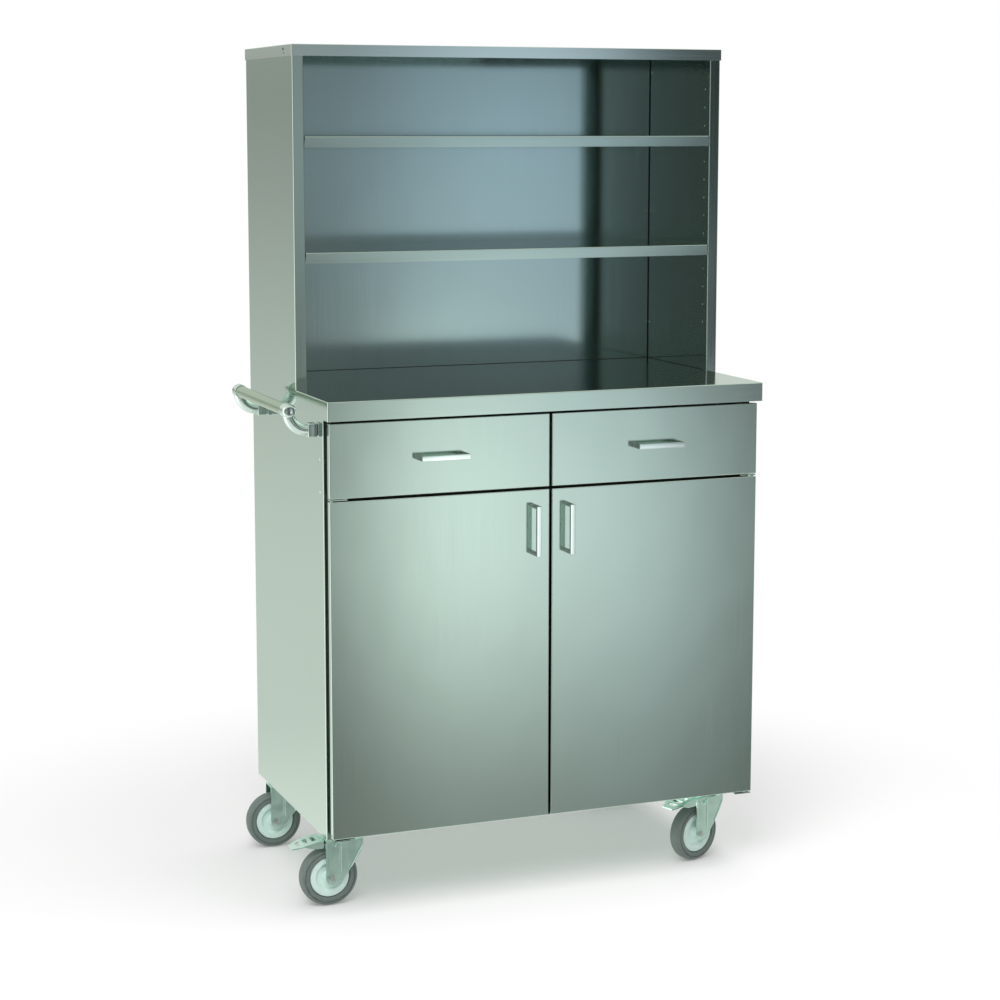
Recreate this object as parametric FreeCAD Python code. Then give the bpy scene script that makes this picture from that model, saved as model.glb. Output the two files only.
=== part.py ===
import FreeCAD, Part
import math
import os

V = FreeCAD.Vector

# Mobile service station: base cabinet with two drawers over two doors, folded worktop,
# open shelf unit (hutch) on top, push handle on the left side and four swivel casters.
# All lengths are in millimetres. The builders below work in the cabinet's own frame:
# X to the right seen from the front, Y to the back with 0 at the front edge of the side
# panels, Z up with 0 on the floor, X = 0 in the middle between the side panels. The last
# section moves everything so that the origin lies on the floor in the middle of the outline.

# ---------------------------------------------------------------- driving dimensions
# base cabinet
cabinet_width = 970.0
cabinet_depth = 527.0
cabinet_bottom = 160.0
sheet = 1.2
cut_past = 1.0
panel_flange = 20.0
bend_radius = 2.0
bottom_upstand = 25.0
bottom_sheet = 2.0

# worktop
worktop_side_overhang = 5.0
worktop_height = 1080.0
worktop_edge = 40.0
worktop_sheet = 1.5
worktop_front_overhang = 12.0
worktop_back_overhang = 3.0
stiffener_width = 40.0
stiffener_height = 25.0
stiffener_places = (130.0, 370.0)
stiffener_end_gap = 1.0

# dark face frame between carcass and fronts
frame_recess = 12.0
frame_depth = 21.0
frame_sheet = 1.5
frame_stile = 12.0
frame_below_door = 4.0
frame_bottom_rail = 24.0
frame_mid_rail = 24.0
frame_top_overlap = 4.5
frame_post = 24.0

# fronts
front_gap = 5.5
front_thickness = 14.0
front_frame_gap = 3.0
front_side_inset = 1.5
front_sheet = 1.2
drawer_front_height = 154.0
worktop_front_gap = 5.5
door_above_cabinet_bottom = 10.0

# door hinges (pivot pins) and catches
hinge_inset = 8.0
hinge_pin_radius = 3.0
hinge_pin_clearance = 0.05
hinge_hole_clearance = 1.0
hinge_pin_depth = 14.0
hinge_block_width = 16.0
hinge_block_height = 20.0
hinge_plate = 2.5
hinge_plate_gap = 2.0
hinge_plate_set_back = 1.0
hinge_tab_sheet = 2.0
hinge_tab_start = 18.0
hinge_tab_width = 20.0
hinge_tab_height = 12.0
liner_sheet = 1.0
liner_depth = 10.0
catch_width = 40.0
catch_height = 14.0
catch_depth = 20.0
catch_face_gap = 0.3
catch_from_centre = 45.0

# bow handles
handle_length = 106.0
handle_reach = 30.0
handle_bar_width = 11.0
handle_bar_thickness = 6.0
handle_edge_radius = 0.8
door_handle_from_centre = 38.0
door_handle_from_top = 31.0

# drawers and their runners
runner_space = 12.7
runner_sheet = 1.2
runner_height = 45.0
runner_play = 0.4
runner_outer_lip = 8.5
runner_middle_offset = 4.2
runner_middle_lip = 5.2
runner_inner_lip = 5.0
runner_length = 450.0
runner_inner_length = 428.0
runner_front = 2.0
rail_below_runner = 58.0
rail_above_runner = 24.0
box_sheet = 1.0
box_above_front_bottom = 17.5
box_below_front_top = 24.5
runner_above_box_bottom = 40.0
box_depth = 452.0

# shelves
shelf_sheet = 1.2
shelf_side_play = 1.0
shelf_front_lip = 23.0
shelf_peg_drop = 18.0
peg_head_radius = 4.0
peg_head_length = 8.0
peg_shank_radius = 2.5
inner_shelf_height = 520.0
inner_shelf_front = 30.0
inner_shelf_back_gap = 12.0
inner_peg_inset = 60.0
inner_peg_seat = 0.8

# hutch
hutch_height = 714.0
hutch_front = 172.0
hutch_return = 24.0
hutch_return_leg = 20.0
hutch_back_return = 18.0
hutch_lining = 1.0
cap_lip = 24.0
cap_proud = 2.0
peg_pitch = 40.0
peg_first_above_worktop = 108.0
peg_count = 14
upper_shelf_hole = 10
lower_shelf_hole = 4
front_peg_row = 66.0
back_peg_row = 35.0
shelf_back_gap = 3.0
shelf_notch_play = 1.5

# rivets and screws
rivet_head_radius = 3.0
rivet_head_height = 1.2
rivet_shank_radius = 1.6
corner_rivet_inset = 9.0
corner_rivet_heights = (87.0, 350.0, 670.0)
side_rivet_inset = 22.0
side_rivet_from_rail_edge = 7.0
cap_screw_radius = 3.0
cap_screw_inset = 60.0
cap_screw_drop = 9.0
cap_rivet_radius = 1.5
cap_rivet_below_screw = 8.0
cap_rivet_forward = 3.0
cap_fixing_length = 0.8

# push handle
grip_radius = 12.5
grip_wall = 1.5
grip_from_side = 65.0
grip_below_worktop_top = 23.0
grip_front_bracket = 24.0
grip_bracket_spacing = 376.0
knuckle_radius = 14.5
knuckle_length = 30.0
knuckle_overhang = 13.0
knuckle_edge_radius = 6.0
grip_socket_depth = 12.0
arm_radius = 12.0
arm_drop = 2.5
arm_bend_radius = 38.0
block_height = 28.0
block_width = 26.0
block_foot = 5.0
block_groove = 3.0
block_groove_depth = 2.5
block_edge_radius = 2.0
set_screw_radius = 2.0
bracket_screw_radius = 3.0
bracket_screw_head_radius = 5.0
bracket_screw_head = 3.5
bracket_screw_grip = 14.0

# casters
wheel_radius = 62.5
tyre_width = 32.0
tyre_inner_radius = 43.5
tyre_shoulder = 9.0
tyre_side_groove = 1.5
disc_rim_half = 13.0
disc_dish_half = 7.0
disc_step_radius = 30.0
disc_step = 4.0
hub_radius = 13.0
hub_half = 19.4
axle_radius = 4.0
axle_clearance = 0.05
axle_head_radius = 7.5
axle_head = 5.0
swivel_offset = 40.0
swivel_from_side = 61.0
swivel_from_front = 62.0
swivel_from_back = 47.0
plate_length = 100.0
plate_width = 85.0
plate_thickness = 3.0
plate_hole_x = 80.0
plate_hole_y = 60.0
plate_bolt_radius = 4.0
plate_bolt_head_radius = 6.5
plate_bolt_head = 4.0
plate_bolt_grip = 7.0
bearing_radius = 29.0
bearing_bore = 8.0
bearing_height = 12.0
bearing_gap = 0.3
king_pin_radius = 6.0
king_pin_clearance = 0.05
king_pin_head_radius = 10.0
king_pin_head = 3.5
fork_inner_half = 20.0
fork_sheet = 2.5
fork_crown_sheet = 4.0
fork_back = 11.0
fork_front = 31.0
fork_foot_radius = 15.5
fork_foot_turn = 310.0
fork_gusset_x = (-14.0, 15.0, 26.0)
fork_gusset_below_crown = (84.5, 45.5, 27.0)
fork_shoulder_below_crown = 12.0
fork_edge_radius = 2.0
front_right_turn = 18.6

# brake pedal on the front casters
pedal_pivot_x = -26.0
pedal_pivot_below_crown = 8.5
pedal_pin_radius = 3.0
pedal_pin_clearance = 0.05
pedal_sheet = 2.5
pedal_inner_half = 18.0
pedal_inner_end = -20.0
pedal_inner_above_pivot = 1.5
pedal_riser = -58.5
pedal_root_above_crown = 2.0
pedal_tip = -122.0
pedal_fall = 15.0
pedal_skirt_gap = 0.7
pedal_skirt = 14.0
pedal_tip_skirt = 7.7
pedal_slot_count = 3
pedal_slot_pitch = 16.0
pedal_slot_width = 7.0
pedal_slot_length = 26.0
pedal_first_slot = -74.0
pedal_tip_radius = 12.0

# ---------------------------------------------------------------- derived places
half_cabinet = cabinet_width / 2
half_worktop = half_cabinet + worktop_side_overhang
half_hutch = half_worktop
panel_inside = half_cabinet - sheet
worktop_bottom = worktop_height - worktop_edge
under_worktop = worktop_height - worktop_sheet
frame_front = -frame_depth
front_back = frame_front - front_frame_gap
front_face = front_back - front_thickness
worktop_front = front_face - worktop_front_overhang
worktop_back = cabinet_depth + worktop_back_overhang
half_frame = half_cabinet - frame_recess
half_opening = half_frame - frame_stile
half_post = frame_post / 2
half_front_gap = front_gap / 2
front_outer = half_cabinet - front_side_inset
drawer_front_top = worktop_bottom - worktop_front_gap
drawer_front_bottom = drawer_front_top - drawer_front_height
door_top = drawer_front_bottom - front_gap
door_bottom = cabinet_bottom + door_above_cabinet_bottom
frame_bottom = door_bottom - frame_below_door
frame_mid_rail_bottom = (door_top + drawer_front_bottom - frame_mid_rail) / 2
frame_top_rail_bottom = drawer_front_top - frame_top_overlap
box_bottom = drawer_front_bottom + box_above_front_bottom
box_top = drawer_front_top - box_below_front_top
runner_centre_height = box_bottom + runner_above_box_bottom
rail_bottom = runner_centre_height - rail_below_runner
rail_top = runner_centre_height + rail_above_runner
side_rivet_heights = (rail_bottom + side_rivet_from_rail_edge,
                      rail_top - side_rivet_from_rail_edge)
hinge_x = half_cabinet - hinge_inset
hinge_y = front_back - front_thickness / 2
hutch_top = worktop_height + hutch_height
first_peg_height = worktop_height + peg_first_above_worktop
upper_shelf_top = first_peg_height + upper_shelf_hole * peg_pitch + shelf_peg_drop
lower_shelf_top = first_peg_height + lower_shelf_hole * peg_pitch + shelf_peg_drop
hutch_back_face = cabinet_depth
hutch_inside = half_hutch - sheet - hutch_lining
hutch_foot_front = hutch_front + bend_radius
hutch_panel_back = hutch_back_face - sheet
hutch_panel_front = hutch_panel_back - sheet
back_panel_back = cabinet_depth - sheet
back_panel_front = back_panel_back - sheet
grip_x = -(half_cabinet + grip_from_side)
grip_height = worktop_height - grip_below_worktop_top
arm_end_x = grip_x + arm_bend_radius
arm_end_height = grip_height - arm_drop - arm_bend_radius
swivel_x = half_cabinet - swivel_from_side
swivel_back_y = cabinet_depth - swivel_from_back
plate_bottom = cabinet_bottom - plate_thickness
fork_outer_half = fork_inner_half + fork_sheet
fork_crown_top = plate_bottom - bearing_height
fork_crown_bottom = fork_crown_top - fork_crown_sheet
fork_shoulder_height = fork_crown_bottom - fork_shoulder_below_crown
pedal_pivot_height = fork_crown_bottom - pedal_pivot_below_crown
pedal_inner_height = pedal_pivot_height + pedal_inner_above_pivot
pedal_root_top = fork_crown_top + pedal_root_above_crown
pedal_tip_top = pedal_root_top - pedal_fall
shelf_side_lip = shelf_peg_drop - peg_head_radius

# outline of the whole object, for the place of the origin
reach_left = half_cabinet + grip_from_side + knuckle_radius
reach_right = half_hutch + cap_proud
reach_front = -front_face + handle_reach
reach_back = worktop_back
shift_x = (reach_left - reach_right) / 2
shift_y = (reach_front - reach_back) / 2

parts = {}


# ---------------------------------------------------------------- shape helpers
def box(x0, x1, y0, y1, z0, z1):
    """Box between two corners."""
    return Part.makeBox(x1 - x0, y1 - y0, z1 - z0, V(x0, y0, z0))


def rod(start, direction, radius, length):
    """Solid cylinder from a start point along a direction."""
    return Part.makeCylinder(radius, length, start, direction)


def mirrored(shape):
    """Copy of a shape on the other side of the cabinet's middle plane."""
    return shape.mirror(V(0, 0, 0), V(1, 0, 0))


def group(shapes):
    """Separate solids kept together in one node."""
    return Part.makeCompound(shapes)


def near(value, target):
    """True where two lengths agree."""
    return abs(value - target) < 1e-4


def edges_where(shape, **places):
    """Edges whose two ends lie at the given x, y or z."""
    found = []
    for edge in shape.Edges:
        ends = [vertex.Point for vertex in edge.Vertexes]
        if len(ends) == 2 and all(near(getattr(end, name), value)
                                  for end in ends for name, value in places.items()):
            found.append(edge)
    return found


def edges_along(shape, axis, **places):
    """Straight edges parallel to an axis, at the given other coordinates."""
    found = []
    for edge in edges_where(shape, **places):
        a, b = [vertex.Point for vertex in edge.Vertexes]
        if all(near(getattr(a, name), getattr(b, name)) for name in "xyz" if name != axis):
            found.append(edge)
    return found


def pan(outer, depth_axis, open_high, wall):
    """Open pan: a box (x0,x1,y0,y1,z0,z1) hollowed from its high or low side, leaving a wall."""
    low = [outer[0], outer[2], outer[4]]
    high = [outer[1], outer[3], outer[5]]
    inner_low = [v + wall for v in low]
    inner_high = [v - wall for v in high]
    if open_high:
        inner_high[depth_axis] = high[depth_axis] + wall
    else:
        inner_low[depth_axis] = low[depth_axis] - wall
    body = box(low[0], high[0], low[1], high[1], low[2], high[2])
    return body.cut(box(inner_low[0], inner_high[0], inner_low[1], inner_high[1],
                        inner_low[2], inner_high[2]))


def hollow_tube(x0, x1, y0, y1, z0, z1, wall):
    """Rectangular tube running along Y, open at both ends."""
    outer = box(x0, x1, y0, y1, z0, z1)
    inner = box(x0 + wall, x1 - wall, y0 - wall, y1 + wall, z0 + wall, z1 - wall)
    return outer.cut(inner)


def prism(points, start_y, end_y):
    """Solid with an outline in X and Z, between two Y planes."""
    corners = [V(x, start_y, z) for x, z in points]
    face = Part.Face(Part.makePolygon(corners + corners[:1]))
    return face.extrude(V(0, end_y - start_y, 0))


# ---------------------------------------------------------------- carcass
def side_panel():
    """Left side panel: sheet with flanges folded inwards at front, back and top."""
    x0 = -half_cabinet
    outer = box(x0, x0 + panel_flange, 0, cabinet_depth, cabinet_bottom, under_worktop)
    outer = outer.makeFillet(bend_radius, edges_along(outer, "z", x=x0))
    hollow = box(x0 + sheet, x0 + panel_flange + sheet, sheet, cabinet_depth - sheet,
                 cabinet_bottom - sheet, under_worktop - sheet)
    panel = outer.cut(hollow)
    holes = []
    for y in inner_peg_places():
        holes.append(rod(V(-panel_inside - inner_peg_seat, y, inner_peg_height()),
                         V(1, 0, 0), peg_shank_radius, 2 * inner_peg_seat))
    for z in side_rivet_heights:
        holes.append(rod(V(x0 - sheet, side_rivet_inset, z), V(1, 0, 0),
                         rivet_shank_radius, 3 * sheet))
    return panel.cut(group(holes))


def inner_peg_height():
    """Height of the pegs that carry the shelf inside the cabinet."""
    return inner_shelf_height - shelf_peg_drop


def inner_peg_places():
    """Y places of the inner shelf's pegs."""
    return (inner_peg_inset, cabinet_depth - inner_peg_inset)


def back_panel():
    """Back sheet, inside the back flanges of the side panels."""
    return box(-panel_inside, panel_inside, back_panel_front, back_panel_back,
               cabinet_bottom, under_worktop - sheet)


def bottom_plate():
    """Cabinet floor: a pan with upstands, drilled for the caster bolts."""
    plate = pan((-panel_inside, panel_inside, sheet, back_panel_front,
                 cabinet_bottom, cabinet_bottom + bottom_upstand), 2, True, bottom_sheet)
    holes = [rod(V(x, y, cabinet_bottom - sheet), V(0, 0, 1), plate_bolt_radius, 3 * bottom_sheet)
             for x, y in all_plate_bolts()]
    return plate.cut(group(holes))


def front_frame():
    """Dark face frame with a door opening and two drawer openings, hollow from the back."""
    top = under_worktop
    t = frame_sheet
    openings = [
        (-half_opening, half_opening, frame_bottom + frame_bottom_rail, frame_mid_rail_bottom),
        (-half_opening, -half_post, frame_mid_rail_bottom + frame_mid_rail,
         frame_top_rail_bottom),
        (half_post, half_opening, frame_mid_rail_bottom + frame_mid_rail,
         frame_top_rail_bottom),
    ]
    body = box(-half_frame, half_frame, frame_front, 0, frame_bottom, top)
    pocket = box(-half_frame + t, half_frame - t, frame_front + t, 0 + t,
                 frame_bottom + t, top - t)
    for x0, x1, z0, z1 in openings:
        pocket = pocket.cut(box(x0 - t, x1 + t, frame_front, 2 * t, z0 - t, z1 + t))
    body = body.cut(pocket)
    for x0, x1, z0, z1 in openings:
        body = body.cut(box(x0, x1, frame_front - t, t, z0, z1))
    return body


def drawer_divider():
    """Box-section partition between the two drawers."""
    return hollow_tube(-half_post, half_post, 0, back_panel_front,
                       rail_bottom, frame_top_rail_bottom, sheet)


def runner_rail():
    """Left rail between side panel and runner, with holes for the side rivets."""
    rail = hollow_tube(-panel_inside, -half_opening, sheet, back_panel_front,
                       rail_bottom, rail_top, sheet)
    holes = [rod(V(-half_cabinet, side_rivet_inset, z), V(1, 0, 0),
                 rivet_shank_radius, 3 * sheet) for z in side_rivet_heights]
    return rail.cut(group(holes))


def worktop():
    """Folded worktop: edge turned down all round, set in where the hutch sides lap over it."""
    outer = box(-half_worktop, half_worktop, worktop_front, worktop_back,
                worktop_bottom, worktop_height)
    rounded = outer.makeFillet(bend_radius, edges_where(outer, z=worktop_height)
                               + edges_along(outer, "z"))
    w = worktop_sheet
    for x in (-half_worktop, half_worktop - sheet):
        rounded = rounded.cut(box(x, x + sheet, hutch_foot_front, worktop_back + w,
                                  worktop_bottom - w, worktop_height + w))
    narrow = half_worktop - sheet - w
    hollow = box(-narrow, narrow, worktop_front + w, worktop_back - w,
                 worktop_bottom - w, under_worktop)
    wide = box(-half_worktop + w, half_worktop - w, worktop_front + w,
               hutch_foot_front - w, worktop_bottom - w, under_worktop)
    return rounded.cut(hollow.fuse(wide))


def worktop_stiffener(y):
    """Channel under the worktop, open at the top, from side panel to side panel."""
    half = half_cabinet - panel_flange - stiffener_end_gap
    low = under_worktop - stiffener_height
    outer = box(-half, half, y, y + stiffener_width, low, under_worktop)
    inner = box(-half - sheet, half + sheet, y + sheet, y + stiffener_width - sheet,
                low + sheet, under_worktop + sheet)
    return outer.cut(inner)


def build_carcass():
    """Cabinet body, face frame and worktop."""
    parts["side_panel_left"] = side_panel()
    parts["side_panel_right"] = mirrored(side_panel())
    parts["back_panel"] = back_panel()
    parts["bottom_plate"] = bottom_plate()
    parts["front_frame"] = front_frame()
    parts["drawer_divider"] = drawer_divider()
    parts["runner_rails"] = group([runner_rail(), mirrored(runner_rail())])
    parts["worktop"] = worktop()
    parts["worktop_stiffeners"] = group([worktop_stiffener(y) for y in stiffener_places])


# ---------------------------------------------------------------- shelves and pegs
def peg(wall_x, y, z, seat):
    """Left peg: shank seated in the wall and a head that carries the shelf."""
    shank = rod(V(wall_x - seat, y, z), V(1, 0, 0), peg_shank_radius, seat)
    head = rod(V(wall_x, y, z), V(1, 0, 0), peg_head_radius, peg_head_length)
    return shank.fuse(head)


def inner_shelf():
    """Shelf inside the cabinet, lipped on all sides; it stands on four pegs."""
    half = panel_inside - shelf_side_play
    front = inner_shelf_front
    back = back_panel_front - inner_shelf_back_gap
    low = inner_shelf_height - shelf_side_lip
    return pan((-half, half, front, back, low, inner_shelf_height), 2, False, shelf_sheet)


def hutch_shelf(top):
    """Hutch shelf: notched round the front returns, deep front lip, short side lips."""
    t = shelf_sheet
    half = hutch_inside - shelf_side_play
    half_front = half_hutch - hutch_return - shelf_notch_play
    notch = hutch_front + hutch_return_leg + shelf_notch_play
    back = hutch_panel_front - shelf_back_gap
    low = top - shelf_side_lip
    wide = box(-half, half, notch, back, low, top)
    wide = wide.cut(box(-half + t, half - t, notch + t, back - t, low - t, top - t))
    nose = box(-half_front, half_front, hutch_front, notch + t, top - shelf_front_lip, top)
    nose = nose.makeFillet(bend_radius, edges_where(nose, y=hutch_front, z=top))
    nose = nose.cut(box(-half_front + t, half_front - t, hutch_front + t, notch + 3 * t,
                        top - shelf_front_lip - t, top - t))
    web = box(-half_front + t, half_front - t, notch - t, notch + 2 * t, low - t, top - t)
    below = box(-half_front, half_front, notch, notch + 2 * t, top - shelf_front_lip - t, low)
    return wide.cut(web).fuse(nose.cut(below)).removeSplitter()


def build_shelves():
    """Three shelves and all their pegs."""
    parts["inner_shelf"] = inner_shelf()
    parts["hutch_shelf_upper"] = hutch_shelf(upper_shelf_top)
    parts["hutch_shelf_lower"] = hutch_shelf(lower_shelf_top)
    left = [peg(-panel_inside, y, inner_peg_height(), inner_peg_seat)
            for y in inner_peg_places()]
    for top in (upper_shelf_top, lower_shelf_top):
        for y in hutch_peg_rows():
            left.append(peg(-hutch_inside, y, top - shelf_peg_drop, hutch_lining))
    parts["shelf_pegs"] = group(left + [mirrored(p) for p in left])


# ---------------------------------------------------------------- hutch
def hutch_peg_rows():
    """Y places of the two rows of peg holes in the hutch sides."""
    return (hutch_front + front_peg_row, hutch_back_face - back_peg_row)


def hutch_side():
    """Left hutch side: sheet with folded returns, a foot over the worktop edge, a lining."""
    x0 = -half_hutch
    top = hutch_top - sheet
    outer = box(x0, x0 + hutch_return, hutch_front, hutch_back_face, worktop_height, top)
    outer = outer.makeFillet(bend_radius, edges_along(outer, "z", y=hutch_front))
    behind_leg = box(-hutch_inside, x0 + 2 * hutch_return, hutch_front + hutch_return_leg,
                     hutch_back_face - sheet, worktop_height - sheet, top + sheet)
    in_return = box(x0 + sheet, x0 + hutch_return - sheet, hutch_front + sheet,
                    hutch_front + hutch_return_leg + sheet, worktop_height - sheet, top + sheet)
    side = outer.cut(behind_leg).cut(in_return)
    short_back = box(x0 + hutch_back_return, x0 + 2 * hutch_return,
                     hutch_back_face - 2 * sheet, hutch_back_face + sheet,
                     worktop_height - sheet, top + sheet)
    foot = box(x0, x0 + sheet, hutch_foot_front, hutch_back_face, worktop_bottom,
               worktop_height)
    side = side.cut(short_back).fuse(foot).removeSplitter()
    holes = []
    for y in hutch_peg_rows():
        for i in range(peg_count):
            z = first_peg_height + i * peg_pitch
            holes.append(rod(V(x0 + sheet, y, z), V(1, 0, 0), peg_shank_radius,
                             2 * hutch_lining))
    for z in corner_rivet_heights:
        holes.append(rod(V(x0 + sheet, hutch_panel_front - corner_rivet_inset,
                           worktop_height + z), V(1, 0, 0), rivet_shank_radius,
                         2 * hutch_lining))
    return side.cut(group(holes))


def hutch_cap():
    """Top cap: pan turned over the hutch, standing slightly proud of it."""
    x1 = half_hutch + cap_proud
    y0 = hutch_front - cap_proud
    y1 = hutch_back_face + cap_proud
    low = hutch_top - cap_lip
    outer = box(-x1, x1, y0, y1, low, hutch_top)
    rounded = outer.makeFillet(bend_radius / 2, edges_where(outer, z=hutch_top)
                               + edges_along(outer, "z"))
    hollow = box(-x1 + sheet, x1 - sheet, y0 + sheet, y1 - sheet, low - sheet,
                 hutch_top - sheet)
    return rounded.cut(hollow)


def rivet(point, direction, grip):
    """Blind rivet: low round head outside and a shank through the sheets."""
    head = rod(point, direction, rivet_head_radius, rivet_head_height)
    shank = rod(point - direction * grip, direction, rivet_shank_radius, grip)
    return head.fuse(shank)


def left_rivets():
    """Rivets of the left side: cabinet side and hutch back corner."""
    made = [rivet(V(-half_cabinet, side_rivet_inset, z), V(-1, 0, 0), 2 * sheet)
            for z in side_rivet_heights]
    for z in corner_rivet_heights:
        made.append(rivet(V(-hutch_inside, hutch_panel_front - corner_rivet_inset,
                            worktop_height + z), V(1, 0, 0), hutch_lining))
    return made


def cap_fixings():
    """Screw head and small rivet on the left lip of the cap."""
    y = hutch_front - cap_proud + cap_screw_inset
    z = hutch_top - cap_screw_drop
    x = -(half_hutch + cap_proud)
    screw = rod(V(x, y, z), V(-1, 0, 0), cap_screw_radius, cap_fixing_length)
    dot = rod(V(x, y - cap_rivet_forward, z - cap_rivet_below_screw), V(-1, 0, 0),
              cap_rivet_radius, cap_fixing_length)
    return [screw, dot]


def build_hutch():
    """Shelf unit on the worktop."""
    parts["hutch_side_left"] = hutch_side()
    parts["hutch_side_right"] = mirrored(hutch_side())
    parts["hutch_back"] = box(-hutch_inside, hutch_inside, hutch_panel_front,
                              hutch_panel_back, worktop_height, hutch_top - sheet)
    parts["hutch_cap"] = hutch_cap()


# ---------------------------------------------------------------- push handle
def grip_bracket(y, to_grip):
    """Cast bracket: socket for the grip tube, quarter-bend arm and mounting block."""
    axis = V(0, to_grip, 0)
    centre = V(grip_x, y, grip_height)
    knuckle = rod(centre - axis * knuckle_overhang, axis, knuckle_radius, knuckle_length)
    outer_end = y - to_grip * knuckle_overhang
    knuckle = knuckle.makeFillet(knuckle_edge_radius, [
        edge for edge in knuckle.Edges
        if near(edge.BoundBox.YMin, outer_end) and near(edge.BoundBox.YMax, outer_end)])
    section = Part.Face(Part.Wire(Part.makeCircle(arm_radius, V(arm_end_x, y, arm_end_height),
                                                  V(1, 0, 0))))
    bend = section.revolve(V(arm_end_x, y, arm_end_height + arm_bend_radius), V(0, 1, 0), 90)
    drop = rod(centre, V(0, 0, -1), arm_radius, arm_drop)
    block = box(arm_end_x, -half_cabinet, y - block_width / 2, y + block_width / 2,
                arm_end_height - block_height / 2, arm_end_height + block_height / 2)
    block = block.makeFillet(block_edge_radius, edges_along(block, "x"))
    groove_x = -half_cabinet - block_foot - block_groove
    d = block_groove_depth
    groove = box(groove_x, groove_x + block_groove, y - block_width, y + block_width,
                 arm_end_height - block_height, arm_end_height + block_height)
    groove = groove.cut(box(groove_x - d, groove_x + block_groove + d,
                            y - block_width / 2 + d, y + block_width / 2 - d,
                            arm_end_height - block_height / 2 + d,
                            arm_end_height + block_height / 2 - d))
    solid = bend.fuse(block.cut(groove)).fuse(drop).fuse(knuckle)
    socket_start = centre + axis * (knuckle_length - knuckle_overhang - grip_socket_depth)
    solid = solid.cut(rod(socket_start, axis, grip_radius, 2 * grip_socket_depth))
    thread = rod(V(-half_cabinet - bracket_screw_grip, y, arm_end_height), V(1, 0, 0),
                 bracket_screw_radius, bracket_screw_grip)
    return solid.cut(thread).removeSplitter()


def bracket_places():
    """Y place and direction to the grip for the front and back bracket."""
    return ((grip_front_bracket, 1), (grip_front_bracket + grip_bracket_spacing, -1))


def grip_tube():
    """Round tube between the two brackets."""
    inset = knuckle_length - knuckle_overhang - grip_socket_depth
    start = grip_front_bracket + inset
    length = grip_bracket_spacing - 2 * inset
    outer = rod(V(grip_x, start, grip_height), V(0, 1, 0), grip_radius, length)
    inner = rod(V(grip_x, start - cut_past, grip_height), V(0, 1, 0),
                grip_radius - grip_wall, length + 2 * cut_past)
    return outer.cut(inner)


def bracket_screw(y):
    """Screw from inside the side panel into the bracket's block."""
    start = V(-half_cabinet - bracket_screw_grip, y, arm_end_height)
    shank = rod(start, V(1, 0, 0), bracket_screw_radius, bracket_screw_grip + sheet)
    head = rod(V(-panel_inside, y, arm_end_height), V(1, 0, 0), bracket_screw_head_radius,
               bracket_screw_head)
    return shank.fuse(head)


def build_push_handle():
    """Push handle on the left side panel, and all small fixings."""
    parts["push_handle_tube"] = grip_tube()
    parts["push_handle_brackets"] = group([grip_bracket(y, s) for y, s in bracket_places()])
    holes = [rod(V(-half_cabinet - sheet, y, arm_end_height), V(1, 0, 0),
                 bracket_screw_radius, 3 * sheet) for y, s in bracket_places()]
    parts["side_panel_left"] = parts["side_panel_left"].cut(group(holes))
    fixings = left_rivets()
    fixings += [mirrored(shape) for shape in left_rivets()]
    fixings += cap_fixings()
    fixings += [bracket_screw(y) for y, s in bracket_places()]
    parts["small_fixings"] = group(fixings)


# ---------------------------------------------------------------- fronts
def bow_handle():
    """Flat-bar bow handle along X, its legs on the plane Y = 0, reaching to -Y."""
    half = handle_length / 2
    w = handle_bar_width / 2
    t = handle_bar_thickness
    outer = box(-half, half, -handle_reach, 0, -w, w)
    hollow = box(-half + t, half - t, -handle_reach + t, t, -handle_bar_width,
                 handle_bar_width)
    bow = outer.cut(hollow)
    return bow.makeFillet(handle_edge_radius, edges_where(bow, y=-handle_reach))


def front_skin(x0, x1, z0, z1):
    """Pressed front: flat face with edges turned back on all four sides."""
    outer = box(x0, x1, front_face, front_back, z0, z1)
    outer = outer.makeFillet(bend_radius, edges_where(outer, y=front_face))
    t = front_sheet
    hollow = box(x0 + t, x1 - t, front_face + t, front_back + t, z0 + t, z1 - t)
    return outer.cut(hollow)


def door_skin():
    """Left door's outer skin, with clearance holes for the pivot pins."""
    skin = front_skin(-front_outer, -half_front_gap, door_bottom, door_top)
    radius = hinge_pin_radius + hinge_hole_clearance
    pin_path = rod(V(-hinge_x, hinge_y, door_bottom - cut_past), V(0, 0, 1), radius,
                   door_top - door_bottom + 2 * cut_past)
    return skin.cut(pin_path)


def door_liner():
    """Left door's inner pan with a pivot block at the top and at the bottom."""
    t = front_sheet
    x0 = -front_outer + t
    x1 = -half_front_gap - t
    z0 = door_bottom + t
    z1 = door_top - t
    pan_shape = pan((x0, x1, front_back - liner_depth, front_back, z0, z1), 1, False,
                    liner_sheet)
    for low in (z0, z1 - hinge_block_height):
        pan_shape = pan_shape.fuse(box(x0, x0 + hinge_block_width, front_face + t,
                                       front_back, low, low + hinge_block_height))
    bore = hinge_pin_radius + hinge_pin_clearance
    depth = hinge_pin_depth + 2 * hinge_plate_gap
    for start, direction in ((z0, 1), (z1, -1)):
        pan_shape = pan_shape.cut(rod(V(-hinge_x, hinge_y, start - direction * t),
                                      V(0, 0, direction), bore, depth))
    return pan_shape.removeSplitter()


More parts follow.
